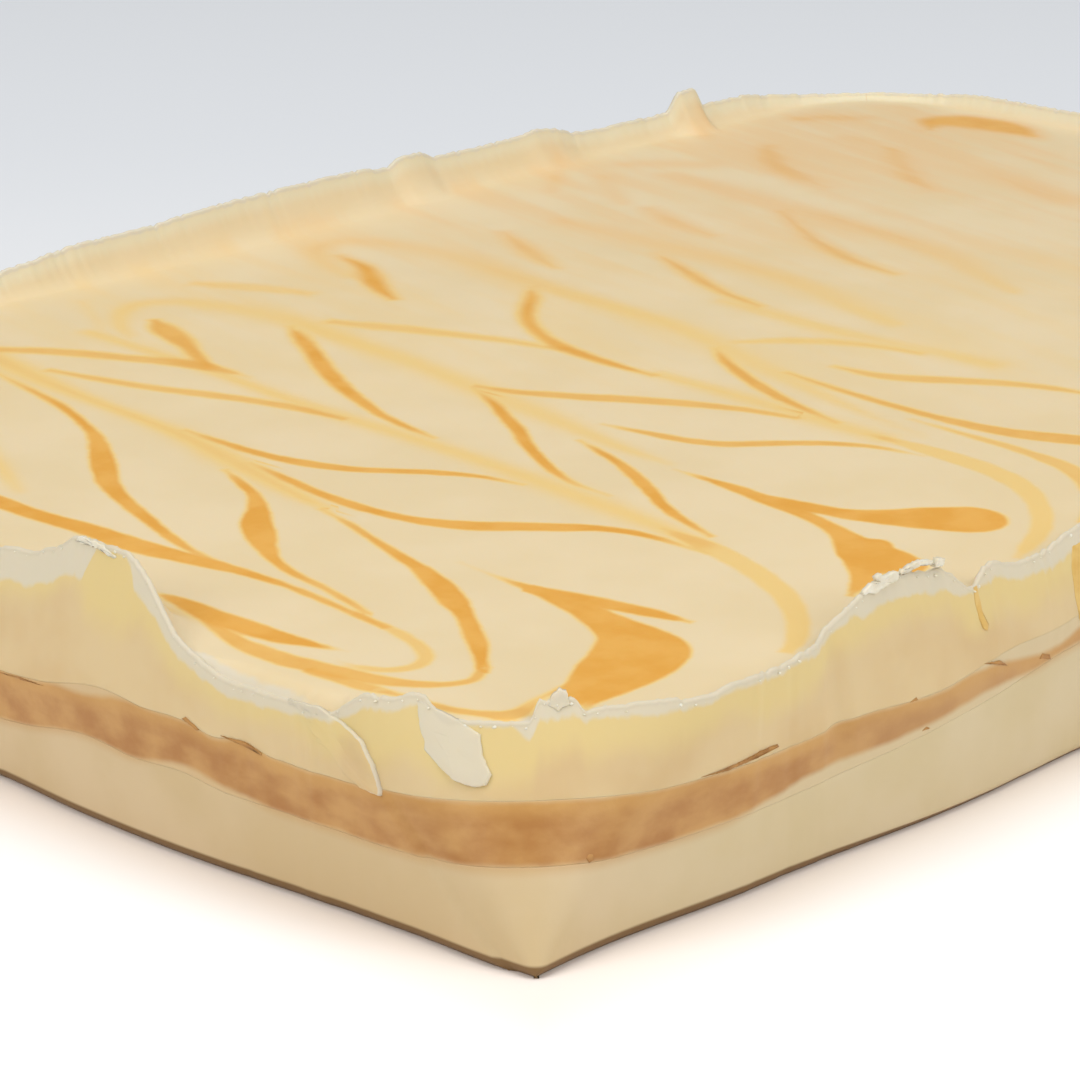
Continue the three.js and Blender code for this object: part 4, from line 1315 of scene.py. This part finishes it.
def strew_crumbs(name, start, end, **sizes):
    """Strews crumbs along the rim between two walks. The sizes go to the tree, in metres."""
    walk = np.arange(start, end, 1.0)
    points = wall_point(walk, smooth_crest(walk) - BELOW_CREST, IN_WALL) * MM
    mesh = bpy.data.meshes.new(name + "_line")
    mesh.from_pydata(points.tolist(), [(k, k + 1) for k in range(len(walk) - 1)], [])
    line = put_in_scene(name + "_line", mesh)
    tree, inputs = crumb_tree()
    modifier = line.modifiers.new("crumbs", "NODES")
    modifier.node_group = tree
    for key, value in sizes.items():
        modifier[inputs[key]] = value
    graph = bpy.context.evaluated_depsgraph_get()
    made = bpy.data.meshes.new_from_object(line.evaluated_get(graph))
    bpy.data.objects.remove(line)
    crumbs = put_in_scene(name, made)
    print(f"{name}: {len(made.polygons)} triangles")
    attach(crumbs, "root")


strew_crumbs("rim_crumbs", -100.0, 112.0, Count=120, Smallest=0.00008, Largest=0.00026,
             Spread=0.0003, Seed=7, Finish=torn.material)

# %% [markdown]
# ## The camera
#
# The camera stands before the near corner, a little above the slab, behind a long lens. Its
# place was worked out from the slab's two bottom edges and the straight drag lines on the
# face. Aiming it by eye would be quicker, but then the layers would never line up.

# %% Camera
LENS, SENSOR = 100.0, 24.0  # millimetres
CAMERA_AT = Vector((-0.4886, -0.4173, 0.2035))
CAMERA_LOOKS = Vector((0.6943, 0.6498, -0.3094))

camera_data = bpy.data.cameras.new("camera")
camera_data.lens = LENS
camera_data.sensor_width = SENSOR
camera = put_in_scene("camera", camera_data)
camera.location = CAMERA_AT
camera.rotation_euler = CAMERA_LOOKS.to_track_quat("-Z", "Y").to_euler()
bpy.context.scene.camera = camera
print("camera stands", round(CAMERA_AT.length, 3), "m from the slab's middle")

# %% [markdown]
# ## The floor
#
# The slab rests on a plain pale floor. Light that has passed through the fudge warms it close
# by, and it turns a cool grey further off. Traced light would need many samples to show such
# a faint glow, so both are painted on the floor.

# %% Floor
FLOOR_REACH = 3.0  # metres
PALE_FLOOR, WARM_FLOOR = (0.95, 0.95, 0.95, 1), (0.93, 0.82, 0.73, 1)
FAR_FLOOR = (0.76, 0.785, 0.82, 1)


def floor_finish():
    f = Finish("pale_floor")
    at = f.place()
    away = CAMERA_LOOKS.copy()
    away.z = 0
    away.normalize()
    along = f.node("ShaderNodeVectorMath", dict(operation="DOT_PRODUCT"), [at, tuple(away)], "Value")
    x, y, _ = f.parts(at)
    beside = (x.size() - LENGTH / 2).most(y.size() - WIDTH / 2).ramp(16.0, 1.0)
    near = f.blend(beside * 0.7, PALE_FLOOR, WARM_FLOOR)
    f.link("Base Color", f.blend(along.ramp(-120.0, 260.0), near, FAR_FLOOR))
    f.set(Roughness=0.7, Specular_IOR_Level=0.2)
    return f


floor_mesh = bpy.data.meshes.new("floor")
corners = [(x * FLOOR_REACH, y * FLOOR_REACH, 0) for x, y in ((-1, -1), (1, -1), (1, 1), (-1, 1))]
floor_mesh.from_pydata(corners, [], [(0, 1, 2, 3)])
floor = put_in_scene("floor", floor_mesh)
floor_mesh.materials.append(floor_finish().material)
print("floor, metres across:", 2 * FLOOR_REACH)

# %% [markdown]
# ## The light
#
# Three soft square lamps light the slab, one overhead and one before each near wall. A single
# lamp in front would be simpler, but it made the corner far brighter than the walls.

# %% Light
ROOM_TINT, ROOM_STRENGTH = (0.93, 0.96, 1.0, 1), 0.25  # the even light from all round

world = bpy.data.worlds.new("studio")
world.use_nodes = True
background = world.node_tree.nodes["Background"]
background.inputs["Color"].default_value = ROOM_TINT
background.inputs["Strength"].default_value = ROOM_STRENGTH
bpy.context.scene.world = world


def soft_light(name, at, target, size, power, colour):
    """A square lamp of a size in metres and a power in watts, turned towards its target."""
    data = bpy.data.lights.new(name, "AREA")
    data.shape = "SQUARE"
    data.size = size
    data.energy = power
    data.color = colour
    lamp = put_in_scene(name, data)
    lamp.location = at
    lamp.rotation_euler = (Vector(target) - Vector(at)).to_track_quat("-Z", "Y").to_euler()
    print(f"{name} lamp: {power} W")


soft_light("overhead", at=(0.10, 0.08, 1.60), target=(0, 0, 0), size=1.2, power=12.9,
           colour=(1.0, 0.985, 0.96))
for name, at in (("left", (-1.06, 0.16, 0.75)), ("right", (0.10, -1.06, 0.75))):
    soft_light(name, at, target=(0, 0, 0.02), size=0.8, power=7.0, colour=(1.0, 0.99, 0.98))

bpy.context.scene.view_settings.view_transform = "Standard"
